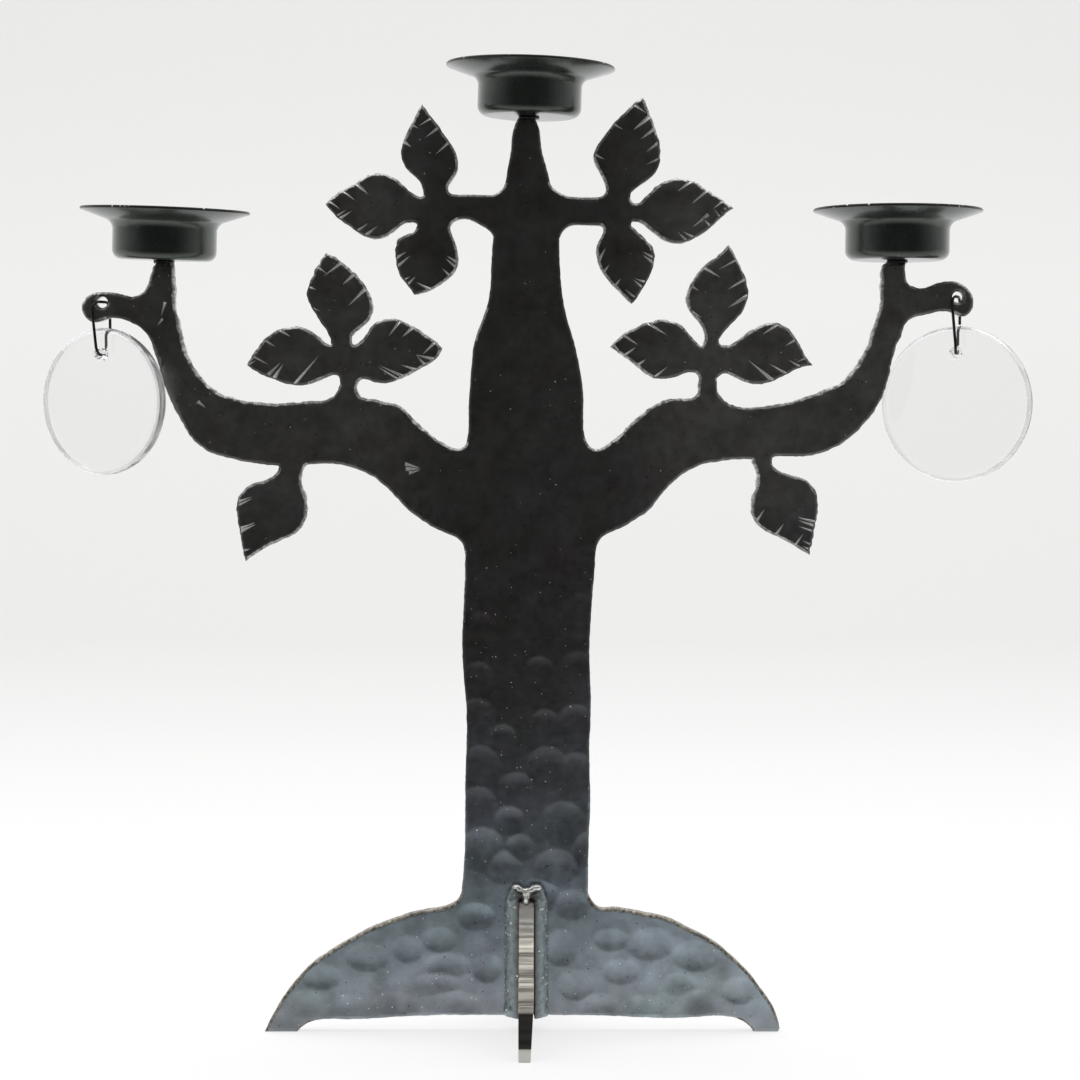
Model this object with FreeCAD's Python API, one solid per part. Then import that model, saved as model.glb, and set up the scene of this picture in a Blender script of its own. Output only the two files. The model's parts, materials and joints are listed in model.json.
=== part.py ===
import FreeCAD, Part
import math
import os

# A three-cup candelabra in the shape of a small tree, cut from one steel plate.
# Millimetres. X runs to the right, Y to the back and Z up. The origin is on the
# floor, half way between the two hanging eyes, in the plate's middle plane.

# Tree plate
plate_thickness = 6.0
trunk_axis_x = -1.4
trunk_width = 50.5
neck_width = 27.0
base_reach = 104.0
base_height = 52.0
foot_arch_height = 6.5
bough_height = 236.5
bough_width = 25.0
bar_height = 331.6
bar_depth = 10.4

# Three posts that carry the cups
centre_post_width = 13.0
centre_post_top = 366.9
side_post_reach = 146.0
side_post_rise = 73.5
side_post_width = 11.0
post_top_width = 7.0

# Lugs with the hanging eyes
lug_reach = 24.7
lug_depth = 11.5
eye_diameter = 4.6
left_eye_rise = 57.8
right_eye_rise = 59.9

# Leaves and the round joints they grow from
leaf_length = 35.0
stem_width = 7.2
stem_rise = 35.6
stem_reach_share = 0.5
bar_reach = 36.8
joint_reach = 7.8
joint_radius = 5.6

# Feet that stand square to the plate
foot_reach = 47.5
foot_thickness = 6.0
foot_top_height = 54.0
toe_length = 11.5

# Weld beads that hold the feet
bead_leg = 6.1
bead_bulge = 0.5
tack_height = 6.4
tack_width = 12.4
tack_root_width = 8.0
tack_depth = 3.0

# Pressed cups. The leans are degrees to the right and to the front.
cup_inside_diameter = 39.0
cup_sheet = 1.2
cup_rim_diameter = 67.4
cup_height = 20.4
cup_corner_radius = 3.8
cup_flare_radius = 4.0
cup_flange_angle = 19.0
left_cup_offset = -0.1
centre_cup_offset = 1.0
right_cup_offset = 0.6
left_cup_leans = (1.9, 2.4)
centre_cup_leans = (1.8, 0.8)
right_cup_leans = (0.4, 0.5)
collar_height = 1.0
collar_diameter = 8.6

# Wire links
wire_diameter = 1.15
link_width = 10.0
link_bend_radius = 3.2
link_yaw = -23.0
link_gap = 0.5
left_link_span = 20.7
right_link_span = 22.1

# Glass discs
left_disc_diameter = 58.9
right_disc_diameter = 62.3
disc_thickness = 6.5
disc_hole_diameter = 4.2
disc_hole_wall = 8.5
disc_yaw = -27.0
disc_edge_radius = 0.7

# Lower trunk: height as a share of bough_height, then the left and the right
# edge as shares of trunk_width from the trunk's axis.
lower_trunk_shares = [
    (0.150, -0.520, 0.480),
    (0.258, -0.513, 0.491),
    (0.309, -0.495, 0.493),
    (0.403, -0.491, 0.509),
    (0.494, -0.479, 0.501),
    (0.567, -0.481, 0.513),
    (0.623, -0.505, 0.501),
    (0.678, -0.511, 0.503),
    (0.767, -0.491, 0.531),
    (0.819, -0.487, 0.547),
    (0.888, -0.479, 0.523),
]

# Upper trunk: height as a share of the way from the crotches to the cross bar,
# then the edges as shares of neck_width.
upper_trunk_shares = [
    (0.059, -0.863, 0.841),
    (0.198, -0.852, 0.844),
    (0.324, -0.819, 0.796),
    (0.454, -0.759, 0.689),
    (0.592, -0.581, 0.556),
    (0.676, -0.530, 0.515),
    (0.752, -0.522, 0.493),
    (0.860, -0.493, 0.485),
    (0.970, -0.493, 0.485),
]

# Centre post: height as a share of the way from the bar's top to the post's
# top, then the edges as shares of centre_post_width.
centre_post_shares = [
    (-0.100, -1.050, 1.150),
    (0.010, -0.930, 1.080),
    (0.080, -0.750, 0.850),
    (0.290, -0.590, 0.655),
    (0.620, -0.465, 0.460),
    (0.950, -0.335, 0.330),
]

# Cross bar: distance from the trunk's axis as a share of bar_reach, then the
# distance above or below the bar's middle as a share of bar_depth.
bar_left_shares = [
    (-1.000, 0.500),
    (-0.826, 0.500),
    (-0.633, 0.420),
    (-0.503, 0.625),
    (-0.389, 0.910),
    (-0.345, 1.400),
]
bar_top_shares = [
    (1.000, 0.500),
    (0.800, 0.425),
    (0.600, 0.405),
    (0.420, 0.440),
    (0.280, 0.500),
]
bar_right_shares = [
    (0.340, 1.500),
    (0.361, 1.100),
    (0.438, 0.730),
    (0.633, 0.630),
    (0.829, 0.650),
    (1.000, 0.550),
]

# Boughs, from inside the trunk to the post: the middle's distance out as a
# share of side_post_reach and its height above the crotches as a share of
# side_post_rise, then half the way across to the upper edge, inwards and
# upwards, as shares of bough_width.
left_bough_shares = [
    (0.151, -0.272, 0.000, 1.220),
    (0.175, -0.265, 0.020, 0.938),
    (0.182, -0.267, 0.008, 0.796),
    (0.202, -0.252, -0.012, 0.720),
    (0.235, -0.223, -0.020, 0.724),
    (0.290, -0.157, 0.020, 0.718),
    (0.338, -0.070, 0.058, 0.718),
    (0.374, -0.005, 0.054, 0.686),
    (0.415, 0.039, 0.042, 0.622),
    (0.470, 0.076, 0.074, 0.554),
    (0.532, 0.082, 0.064, 0.508),
    (0.605, 0.076, 0.016, 0.506),
    (0.701, 0.070, 0.040, 0.498),
    (0.752, 0.079, 0.030, 0.488),
    (0.815, 0.101, 0.062, 0.472),
    (0.872, 0.142, 0.122, 0.446),
    (0.908, 0.203, 0.152, 0.394),
    (0.939, 0.297, 0.170, 0.306),
    (0.964, 0.386, 0.168, 0.286),
    (0.980, 0.493, 0.196, 0.188),
]
right_bough_shares = [
    (0.137, -0.293, 0.000, 1.240),
    (0.164, -0.279, 0.080, 1.000),
    (0.172, -0.263, 0.066, 0.808),
    (0.187, -0.252, 0.060, 0.712),
    (0.238, -0.205, 0.110, 0.672),
    (0.274, -0.152, 0.102, 0.704),
    (0.306, -0.099, 0.080, 0.746),
    (0.348, -0.024, 0.034, 0.742),
    (0.396, 0.048, 0.074, 0.618),
    (0.450, 0.080, 0.044, 0.542),
    (0.513, 0.088, 0.076, 0.480),
    (0.563, 0.081, 0.062, 0.434),
    (0.614, 0.074, 0.094, 0.406),
    (0.662, 0.086, 0.088, 0.404),
    (0.727, 0.096, 0.108, 0.438),
    (0.788, 0.129, 0.114, 0.454),
    (0.846, 0.180, 0.102, 0.430),
    (0.884, 0.237, 0.136, 0.378),
    (0.917, 0.318, 0.122, 0.390),
    (0.941, 0.395, 0.134, 0.378),
    (0.960, 0.518, 0.166, 0.200),
]

# Both boughs are rooted inside the trunk, this share of trunk_width from its middle.
bough_root_share = 0.3

# Side posts go on in the same way, in shares of side_post_width.
left_post_shares = [
    (0.997, 0.618, 0.477, 0.410),
    (1.009, 0.745, 0.514, 0.205),
    (1.008, 0.873, 0.490, -0.036),
    (1.003, 0.948, 0.418, 0.014),
]
right_post_shares = [
    (0.974, 0.614, 0.368, 0.441),
    (0.991, 0.757, 0.436, 0.195),
    (0.992, 0.914, 0.427, -0.032),
    (0.991, 0.968, 0.405, 0.000),
]

# Lugs, round from above the post's shoulder: distance out from the post's line
# as a share of lug_reach and height over the eye as a share of lug_depth.
left_lug_shares = [
    (0.121, 0.626),
    (0.300, 0.435),
    (0.397, 0.261),
    (0.526, 0.183),
    (0.769, 0.313),
    (0.964, 0.348),
    (1.138, 0.313),
    (1.267, 0.139),
    (1.324, -0.113),
    (1.304, -0.417),
    (1.206, -0.643),
    (1.085, -0.678),
    (0.931, -0.574),
    (0.773, -0.548),
    (0.595, -0.643),
    (0.409, -0.843),
    (0.287, -1.070),
    (0.215, -1.374),
    (0.081, -1.765),
]
right_lug_shares = [
    (0.061, 0.704),
    (0.170, 0.539),
    (0.227, 0.409),
    (0.332, 0.304),
    (0.482, 0.339),
    (0.668, 0.478),
    (0.854, 0.548),
    (1.008, 0.496),
    (1.146, 0.304),
    (1.230, 0.061),
    (1.250, -0.217),
    (1.200, -0.530),
    (1.077, -0.670),
    (0.947, -0.565),
    (0.704, -0.496),
    (0.425, -0.635),
    (0.239, -0.757),
    (0.150, -0.957),
    (0.105, -1.252),
    (-0.040, -1.687),
]

# Base: upper edges as shares of base_reach and base_height, from the trunk to
# the tip, and the underside as shares of base_reach and foot_arch_height.
base_left_shares = [
    (0.250, 1.190),
    (0.271, 1.067),
    (0.284, 1.025),
    (0.311, 0.990),
    (0.381, 0.958),
    (0.452, 0.931),
    (0.539, 0.873),
    (0.619, 0.810),
    (0.707, 0.715),
    (0.777, 0.629),
    (0.851, 0.527),
    (0.906, 0.410),
    (0.952, 0.292),
    (0.991, 0.167),
    (1.033, 0.000),
]
base_right_shares = [
    (0.212, 1.190),
    (0.227, 1.067),
    (0.243, 1.010),
    (0.263, 0.973),
    (0.313, 0.965),
    (0.392, 0.950),
    (0.469, 0.919),
    (0.543, 0.881),
    (0.598, 0.825),
    (0.668, 0.758),
    (0.734, 0.675),
    (0.796, 0.565),
    (0.851, 0.456),
    (0.902, 0.323),
    (0.940, 0.213),
    (0.961, 0.119),
    (0.972, 0.027),
]
underside_shares = [
    (-0.907, 0.000),
    (-0.858, 0.600),
    (-0.731, 0.770),
    (-0.494, 0.950),
    (-0.175, 1.050),
    (0.362, 0.950),
    (0.630, 0.890),
    (0.789, 0.890),
    (0.837, 0.580),
    (0.869, 0.000),
]
right_tip_share = 0.964

# Leaves: half widths on the left and on the right, seen from the stem to the
# tip, as shares of the leaf's own length at these stations.
leaf_station_shares = (-0.120, 0.000, 0.150, 0.300, 0.500, 0.700, 0.870)

# Each leaf: the direction of its tip in degrees, its length as a share of
# leaf_length, the place of its neck in shares of joint_reach from the joint,
# and the half widths.
top_left_leaf_shares = [
    (99.0, 0.983, (0.08, 0.90), (0.14, 0.14, 0.175, 0.295, 0.320, 0.220, 0.100),
     (0.14, 0.14, 0.260, 0.310, 0.260, 0.160, 0.070)),
    (176.6, 1.057, (-0.80, -0.03), (0.14, 0.14, 0.170, 0.295, 0.345, 0.250, 0.140),
     (0.13, 0.13, 0.220, 0.330, 0.350, 0.230, 0.120)),
    (254.2, 0.834, (0.00, -0.79), (0.23, 0.23, 0.335, 0.420, 0.460, 0.360, 0.210),
     (0.19, 0.19, 0.220, 0.385, 0.410, 0.335, 0.170)),
]
top_right_leaf_shares = [
    (75.5, 1.089, (-0.05, 0.85), (0.125, 0.125, 0.240, 0.340, 0.290, 0.210, 0.100),
     (0.125, 0.125, 0.230, 0.335, 0.325, 0.230, 0.110)),
    (0.0, 1.091, (0.95, 0.00), (0.05, 0.05, 0.180, 0.280, 0.300, 0.205, 0.100),
     (0.135, 0.135, 0.235, 0.340, 0.350, 0.250, 0.100)),
    (280.5, 0.874, (-0.05, -0.99), (0.18, 0.18, 0.280, 0.385, 0.400, 0.285, 0.150),
     (0.18, 0.18, 0.295, 0.340, 0.315, 0.215, 0.100)),
]
mid_left_leaf_shares = [
    (99.9, 0.994, (-0.28, 1.00), (0.115, 0.115, 0.170, 0.240, 0.300, 0.245, 0.120),
     (0.115, 0.115, 0.340, 0.410, 0.390, 0.285, 0.150)),
    (183.4, 0.974, (-0.75, -0.10), (0.17, 0.17, 0.220, 0.270, 0.260, 0.190, 0.105),
     (0.17, 0.17, 0.270, 0.390, 0.410, 0.340, 0.205)),
    (8.6, 0.966, (0.60, -0.20), (0.19, 0.19, 0.330, 0.430, 0.440, 0.310, 0.165),
     (0.19, 0.19, 0.270, 0.295, 0.260, 0.190, 0.120)),
]
mid_right_leaf_shares = [
    (80.6, 1.074, (-0.03, 1.00), (0.08, 0.08, 0.165, 0.320, 0.330, 0.240, 0.095),
     (0.08, 0.08, 0.150, 0.255, 0.300, 0.230, 0.120)),
    (172.1, 1.022, (-0.70, -0.05), (0.14, 0.14, 0.190, 0.260, 0.270, 0.165, 0.065),
     (0.14, 0.14, 0.260, 0.360, 0.370, 0.285, 0.165)),
    (-3.3, 0.994, (0.65, -0.10), (0.15, 0.15, 0.250, 0.375, 0.455, 0.395, 0.170),
     (0.15, 0.15, 0.200, 0.250, 0.235, 0.130, 0.035)),
]
low_left_leaf_shares = [
    (243.3, 1.146, (0.00, 0.00), (0.12, 0.120, 0.245, 0.335, 0.330, 0.180, 0.065),
     (0.12, 0.100, 0.150, 0.300, 0.340, 0.230, 0.100)),
]
low_right_leaf_shares = [
    (297.6, 1.123, (0.00, 0.00), (0.11, 0.085, 0.170, 0.315, 0.345, 0.235, 0.105),
     (0.10, 0.085, 0.175, 0.305, 0.320, 0.190, 0.075)),
]

# Low leaves hang from the boughs' undersides: distance out as a share of
# side_post_reach and drop below the crotches as a share of bough_width.
low_left_place_shares = (-0.658, -0.396)
low_right_place_shares = (0.642, -0.332)

# Stems between the boughs and the middle joints: height as a share of
# stem_rise, then the left and the right edge as shares of stem_width from the
# joint's middle.
left_stem_shares = [
    (0.450, -1.300, 0.950),
    (0.515, -1.200, 0.870),
    (0.585, -0.730, 0.640),
    (0.690, -0.440, 0.520),
    (0.770, -0.360, 0.700),
    (0.860, -0.600, 1.000),
]
right_stem_shares = [
    (0.440, -1.300, 0.900),
    (0.535, -1.060, 0.640),
    (0.600, -0.840, 0.330),
    (0.690, -0.790, 0.260),
    (0.780, -0.750, 0.300),
    (0.860, -0.900, 0.600),
]

# Side profile of a foot: reach as a share of foot_reach and height as a share
# of foot_top_height.
foot_profile_shares = [
    (0.000, 1.000),
    (0.210, 0.935),
    (0.420, 0.835),
    (0.630, 0.685),
    (0.800, 0.520),
    (0.925, 0.345),
]
# The steep front under it and the flared toe at its foot, in the same shares.
foot_front_shares = [
    (0.945, 0.085),
    (1.000, 0.000),
]
foot_heel_share = 0.62


def at(x, z):
    return FreeCAD.Vector(x, 0, z)


def curve(points):
    """One smooth edge through the points, or a straight one between two."""
    if len(points) == 2:
        return Part.LineSegment(points[0], points[1]).toShape()
    spline = Part.BSplineCurve()
    spline.interpolate(points)
    return spline.toShape()


def outline_face(runs):
    """A flat face bounded by smooth runs, each starting where the last ended."""
    edges = [curve(run) for run in runs]
    edges.append(curve([runs[-1][-1], runs[0][0]]))
    return Part.Face(Part.Wire(edges))


def two_edge_face(lefts, rights):
    """A face between two smooth edges that run the same way."""
    return outline_face([lefts, [lefts[-1], rights[-1]], list(reversed(rights))])


# Plate outlines

def trunk_face():
    bar_rise = bar_height - bough_height
    rows = [(z * bough_height, a * trunk_width, b * trunk_width) for z, a, b in lower_trunk_shares]
    for z, a, b in upper_trunk_shares:
        rows.append((bough_height + z * bar_rise, a * neck_width, b * neck_width))
    lefts = [at(trunk_axis_x + a, z) for z, a, b in rows]
    rights = [at(trunk_axis_x + b, z) for z, a, b in rows]
    return two_edge_face(lefts, rights)


def bar_top():
    return bar_height + bar_depth / 2


def centre_post_face():
    rise = centre_post_top - bar_top()
    lefts = []
    rights = []
    for z, a, b in centre_post_shares:
        height = bar_top() + z * rise
        lefts.append(at(trunk_axis_x + a * centre_post_width, height))
        rights.append(at(trunk_axis_x + b * centre_post_width, height))
    lefts.append(at(trunk_axis_x - post_top_width / 2, centre_post_top))
    rights.append(at(trunk_axis_x + post_top_width / 2, centre_post_top))
    return two_edge_face(lefts, rights)


def bar_face():
    lower_left = [at(trunk_axis_x + x * bar_reach, bar_height - z * bar_depth) for x, z in bar_left_shares]
    lower_right = [at(trunk_axis_x + x * bar_reach, bar_height - z * bar_depth) for x, z in bar_right_shares]
    upper_right = [at(trunk_axis_x + x * bar_reach, bar_height + z * bar_depth) for x, z in bar_top_shares]
    upper_left = at(trunk_axis_x - bar_reach, bar_top())
    return outline_face([
        lower_left,
        [lower_left[-1], lower_right[0]],
        lower_right,
        [lower_right[-1], upper_right[0]],
        upper_right,
        [upper_right[-1], upper_left],
    ])


def bough_face(side, bough_shares, post_shares):
    """side is -1 on the left and 1 on the right."""
    uppers = []
    lowers = []
    rows = [(row, bough_width) for row in bough_shares]
    rows += [(row, side_post_width) for row in post_shares]
    for (out, up, inward, rise), width in rows:
        x = side * out * side_post_reach
        z = bough_height + up * side_post_rise
        across_x = -side * inward * width
        across_z = rise * width
        uppers.append(at(x + across_x, z + across_z))
        lowers.append(at(x - across_x, z - across_z))
    top = bough_height + side_post_rise
    uppers.append(at(side * (side_post_reach - post_top_width / 2), top))
    lowers.append(at(side * (side_post_reach + post_top_width / 2), top))
    root_x = side * bough_root_share * trunk_width
    high_root = at(root_x, uppers[0].z)
    low_root = at(root_x, lowers[0].z)
    return outline_face([
        [high_root, uppers[0]],
        uppers,
        [uppers[-1], lowers[-1]],
        list(reversed(lowers)),
        [lowers[0], low_root],
    ])


def eye_place(side):
    rise = left_eye_rise if side < 0 else right_eye_rise
    return at(side * (side_post_reach + lug_reach), bough_height + rise)


def lug_face(side, lug_shares):
    eye = eye_place(side)
    points = []
    for out, up in lug_shares:
        points.append(at(side * (side_post_reach + out * lug_reach), eye.z + up * lug_depth))
    return outline_face([points])


def base_face():
    left = [at(-x * base_reach, z * base_height) for x, z in base_left_shares]
    right = [at(x * base_reach, z * base_height) for x, z in base_right_shares]
    under = [at(x * base_reach, z * foot_arch_height) for x, z in underside_shares]
    tip = at(right_tip_share * base_reach, 0)
    return outline_face([
        left,
        [left[-1], under[0]],
        under,
        [under[-1], tip],
        [tip, right[-1]],
        list(reversed(right)),
    ])


def leaf_face(joint, leaf):
    direction, length_share, neck_shares, left_halves, right_halves = leaf
    length = length_share * leaf_length
    neck = at(joint.x + neck_shares[0] * joint_reach, joint.z + neck_shares[1] * joint_reach)
    turn = math.radians(direction)
    along = at(math.cos(turn), math.sin(turn))
    across = at(-math.sin(turn), math.cos(turn))
    tip = neck + along * length
    lefts = []
    rights = []
    for station, left_half, right_half in zip(leaf_station_shares, left_halves, right_halves):
        middle = neck + along * (station * length)
        lefts.append(middle + across * (left_half * length))
        rights.append(middle - across * (right_half * length))
    lefts.append(tip)
    rights.append(tip)
    return outline_face([lefts, list(reversed(rights))])


def joint_face(joint):
    ring = Part.Circle(joint, FreeCAD.Vector(0, 1, 0), joint_radius)
    return Part.Face(Part.Wire([ring.toShape()]))


def stem_face(joint, stem_shares):
    lefts = []
    rights = []
    for z, left, right in stem_shares:
        height = bough_height + z * stem_rise
        lefts.append(at(joint.x + left * stem_width, height))
        rights.append(at(joint.x + right * stem_width, height))
    return two_edge_face(lefts, rights)


def flat_to_plate(face):
    """A plate outline given its thickness, half to the front and half to the back."""
    solid = face.extrude(FreeCAD.Vector(0, plate_thickness, 0))
    solid.translate(FreeCAD.Vector(0, -plate_thickness / 2, 0))
    return solid


def tree_plate():
    top_left = at(trunk_axis_x - bar_reach, bar_height)
    top_right = at(trunk_axis_x + bar_reach, bar_height)
    stem_reach = stem_reach_share * side_post_reach
    mid_left = at(-stem_reach, bough_height + stem_rise)
    mid_right = at(stem_reach, bough_height + stem_rise)
    low_left = at(low_left_place_shares[0] * side_post_reach,
                  bough_height + low_left_place_shares[1] * bough_width)
    low_right = at(low_right_place_shares[0] * side_post_reach,
                   bough_height + low_right_place_shares[1] * bough_width)
    faces = [
        trunk_face(),
        base_face(),
        bough_face(-1, left_bough_shares, left_post_shares),
        bough_face(1, right_bough_shares, right_post_shares),
        lug_face(-1, left_lug_shares),
        lug_face(1, right_lug_shares),
        bar_face(),
        centre_post_face(),
    ]
    for joint in (top_left, top_right, mid_left, mid_right):
        faces.append(joint_face(joint))
    faces.append(stem_face(mid_left, left_stem_shares))
    faces.append(stem_face(mid_right, right_stem_shares))
    clusters = [
        (top_left, top_left_leaf_shares),
        (top_right, top_right_leaf_shares),
        (mid_left, mid_left_leaf_shares),
        (mid_right, mid_right_leaf_shares),
        (low_left, low_left_leaf_shares),
        (low_right, low_right_leaf_shares),
    ]
    for joint, leaves in clusters:
        for leaf in leaves:
            faces.append(leaf_face(joint, leaf))
    solids = [flat_to_plate(face) for face in faces]
    plate = solids[0].fuse(solids[1:]).removeSplitter()
    for side in (-1, 1):
        plate = plate.cut(eye_bore(side))
    return plate


def eye_bore(side):
    start = eye_place(side) - FreeCAD.Vector(0, plate_thickness, 0)
    return Part.makeCylinder(eye_diameter / 2, 2 * plate_thickness, start, FreeCAD.Vector(0, 1, 0))


# Feet and their welds. They are drawn at the back and turned to the front.

def at_side(solid, front):
    if front:
        solid.rotate(FreeCAD.Vector(trunk_axis_x, 0, 0), FreeCAD.Vector(0, 0, 1), 180)
    return solid


def foot(at_front):
    face_y = plate_thickness / 2
    start_x = trunk_axis_x - foot_thickness / 2
    top = [FreeCAD.Vector(start_x, face_y + y * foot_reach, z * foot_top_height)
           for y, z in foot_profile_shares]
    front = [FreeCAD.Vector(start_x, face_y + y * foot_reach, z * foot_top_height)
             for y, z in foot_front_shares]
    heel_y = face_y + foot_reach - toe_length
    heel = FreeCAD.Vector(start_x, heel_y, 0)
    step = FreeCAD.Vector(start_x, heel_y - foot_arch_height * foot_heel_share, foot_arch_height * foot_heel_share)
    root = FreeCAD.Vector(start_x, face_y, foot_arch_height)
    face = outline_face([top, [top[-1], front[0]], front, [front[-1], heel], [heel, step], [step, root]])
    return at_side(face.extrude(FreeCAD.Vector(foot_thickness, 0, 0)), at_front)


def bead(side):
    """A fillet weld up the corner between a foot and the plate."""
    corner_x = trunk_axis_x + side * foot_thickness / 2
    corner_y = plate_thickness / 2
    corner = FreeCAD.Vector(corner_x, corner_y, foot_arch_height)
    on_plate = corner + FreeCAD.Vector(side * bead_leg, 0, 0)
    on_foot = corner + FreeCAD.Vector(0, bead_leg, 0)
    crown_reach = bead_leg / 2 + bead_bulge
    crown = corner + FreeCAD.Vector(side * crown_reach, crown_reach, 0)
    edges = [
        Part.LineSegment(corner, on_plate).toShape(),
        Part.Arc(on_plate, crown, on_foot).toShape(),
        Part.LineSegment(on_foot, corner).toShape(),
    ]
    face = Part.Face(Part.Wire(edges))
    return face.extrude(FreeCAD.Vector(0, 0, bead_height()))


def bead_height():
    return foot_top_height - foot_arch_height


def tack(front):
    """A short weld across the top of a foot, wider at its top."""
    y = plate_thickness / 2
    low = foot_top_height
    high = foot_top_height + tack_height
    low_half = tack_root_width / 2
    high_half = tack_width / 2
    corners = [(-low_half, low), (low_half, low), (high_half, high), (-high_half, high)]
    points = [FreeCAD.Vector(trunk_axis_x + x, y, z) for x, z in corners]
    block = Part.Face(Part.makePolygon(points + points[:1])).extrude(FreeCAD.Vector(0, tack_depth, 0))
    slope = Part.makePolygon([
        FreeCAD.Vector(trunk_axis_x - tack_width, y, high),
        FreeCAD.Vector(trunk_axis_x - tack_width, y + tack_depth, low),
        FreeCAD.Vector(trunk_axis_x - tack_width, y + tack_depth, high),
        FreeCAD.Vector(trunk_axis_x - tack_width, y, high),
    ])
    return at_side(block.cut(Part.Face(slope).extrude(FreeCAD.Vector(2 * tack_width, 0, 0))), front)


# Cups

def cup_wall_outside():
    return cup_inside_diameter / 2 + cup_sheet


def cup_turn_height():
    """Height where the cup's straight wall ends and turns out into the flange."""
    rise = math.radians(cup_flange_angle)
    flange_run = (cup_rim_diameter / 2 - cup_wall_outside() - cup_flare_radius
                  + cup_flare_radius * math.sin(rise))
    lip_z = cup_height - cup_sheet * math.cos(rise)
    return lip_z - flange_run * math.tan(rise) - cup_flare_radius * math.cos(rise)


def cup_profile():
    """Half section of a cup, with its axis on Z and its bottom on the ground."""
    wall_outside = cup_wall_outside()
    wall_inside = cup_inside_diameter / 2
    rim = cup_rim_diameter / 2
    rise = math.radians(cup_flange_angle)
    turn_x = wall_outside + cup_flare_radius
    turn_z = cup_turn_height()
    outer_bend = cup_flare_radius
    inner_bend = cup_flare_radius + cup_sheet
    lip_x = rim - cup_sheet * math.sin(rise)
    half_turn = (math.pi / 2 - rise) / 2

    def bend(radius, angle):
        return at(turn_x - radius * math.cos(angle), turn_z + radius * math.sin(angle))

    inner_corner = cup_corner_radius - cup_sheet
    diagonal = 1 - math.sqrt(0.5)
    edges = [
        Part.LineSegment(at(0, 0), at(wall_outside - cup_corner_radius, 0)),
        Part.Arc(
            at(wall_outside - cup_corner_radius, 0),
            at(wall_outside - cup_corner_radius * diagonal, cup_corner_radius * diagonal),
            at(wall_outside, cup_corner_radius),
        ),
        Part.LineSegment(at(wall_outside, cup_corner_radius), at(wall_outside, turn_z)),
        Part.Arc(at(wall_outside, turn_z), bend(outer_bend, half_turn), bend(outer_bend, 2 * half_turn)),
        Part.LineSegment(
            bend(outer_bend, 2 * half_turn),
            at(rim, cup_height - cup_sheet * math.cos(rise)),
        ),
        Part.LineSegment(at(rim, cup_height - cup_sheet * math.cos(rise)), at(lip_x, cup_height)),
        Part.LineSegment(at(lip_x, cup_height), bend(inner_bend, 2 * half_turn)),
        Part.Arc(bend(inner_bend, 2 * half_turn), bend(inner_bend, half_turn), at(wall_inside, turn_z)),
        Part.LineSegment(at(wall_inside, turn_z), at(wall_inside, cup_corner_radius)),
        Part.Arc(
            at(wall_inside, cup_corner_radius),
            at(wall_inside - inner_corner * diagonal, cup_sheet + inner_corner * diagonal),
            at(wall_inside - inner_corner, cup_sheet),
        ),
        Part.LineSegment(at(wall_inside - inner_corner, cup_sheet), at(0, cup_sheet)),
        Part.LineSegment(at(0, cup_sheet), at(0, 0)),
    ]
    return Part.Face(Part.Wire([edge.toShape() for edge in edges]))


def cup_places():
    """Foot of each cup's axis on its post, and the cup's two leans."""
    side_top = bough_height + side_post_rise
    return {
        "left": (at(-side_post_reach + left_cup_offset, side_top), left_cup_leans),
        "centre": (at(trunk_axis_x + centre_cup_offset, centre_post_top), centre_cup_leans),
        "right": (at(side_post_reach + right_cup_offset, side_top), right_cup_leans),
    }


def lean_over(solid, place, leans):
    to_right, to_front = leans
    solid.translate(place)
    solid.rotate(place, FreeCAD.Vector(0, 1, 0), to_right)
    solid.rotate(place, FreeCAD.Vector(1, 0, 0), to_front)
    return solid


def cup(place, leans):
    solid = cup_profile().revolve(FreeCAD.Vector(0, 0, 0), FreeCAD.Vector(0, 0, 1), 360)
    solid.translate(at(0, collar_height))
    return lean_over(solid, place, leans)


def cup_collar(place, leans):
    """The weld between a post's flat top and the cup's bottom."""
    radius = collar_diameter / 2
    puck = Part.makeCylinder(radius, 2 * collar_height, at(0, -collar_height), FreeCAD.Vector(0, 0, 1))
    puck = lean_over(puck, place, leans)
    corner = place - FreeCAD.Vector(collar_diameter, collar_diameter, 0)
    above = Part.makeBox(2 * collar_diameter, 2 * collar_diameter, 2 * collar_height, corner)
    return puck.common(above)


# Links and discs

def disc_hole_place(side):
    span = left_link_span if side < 0 else right_link_span
    return eye_place(side) - at(0, span)


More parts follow.
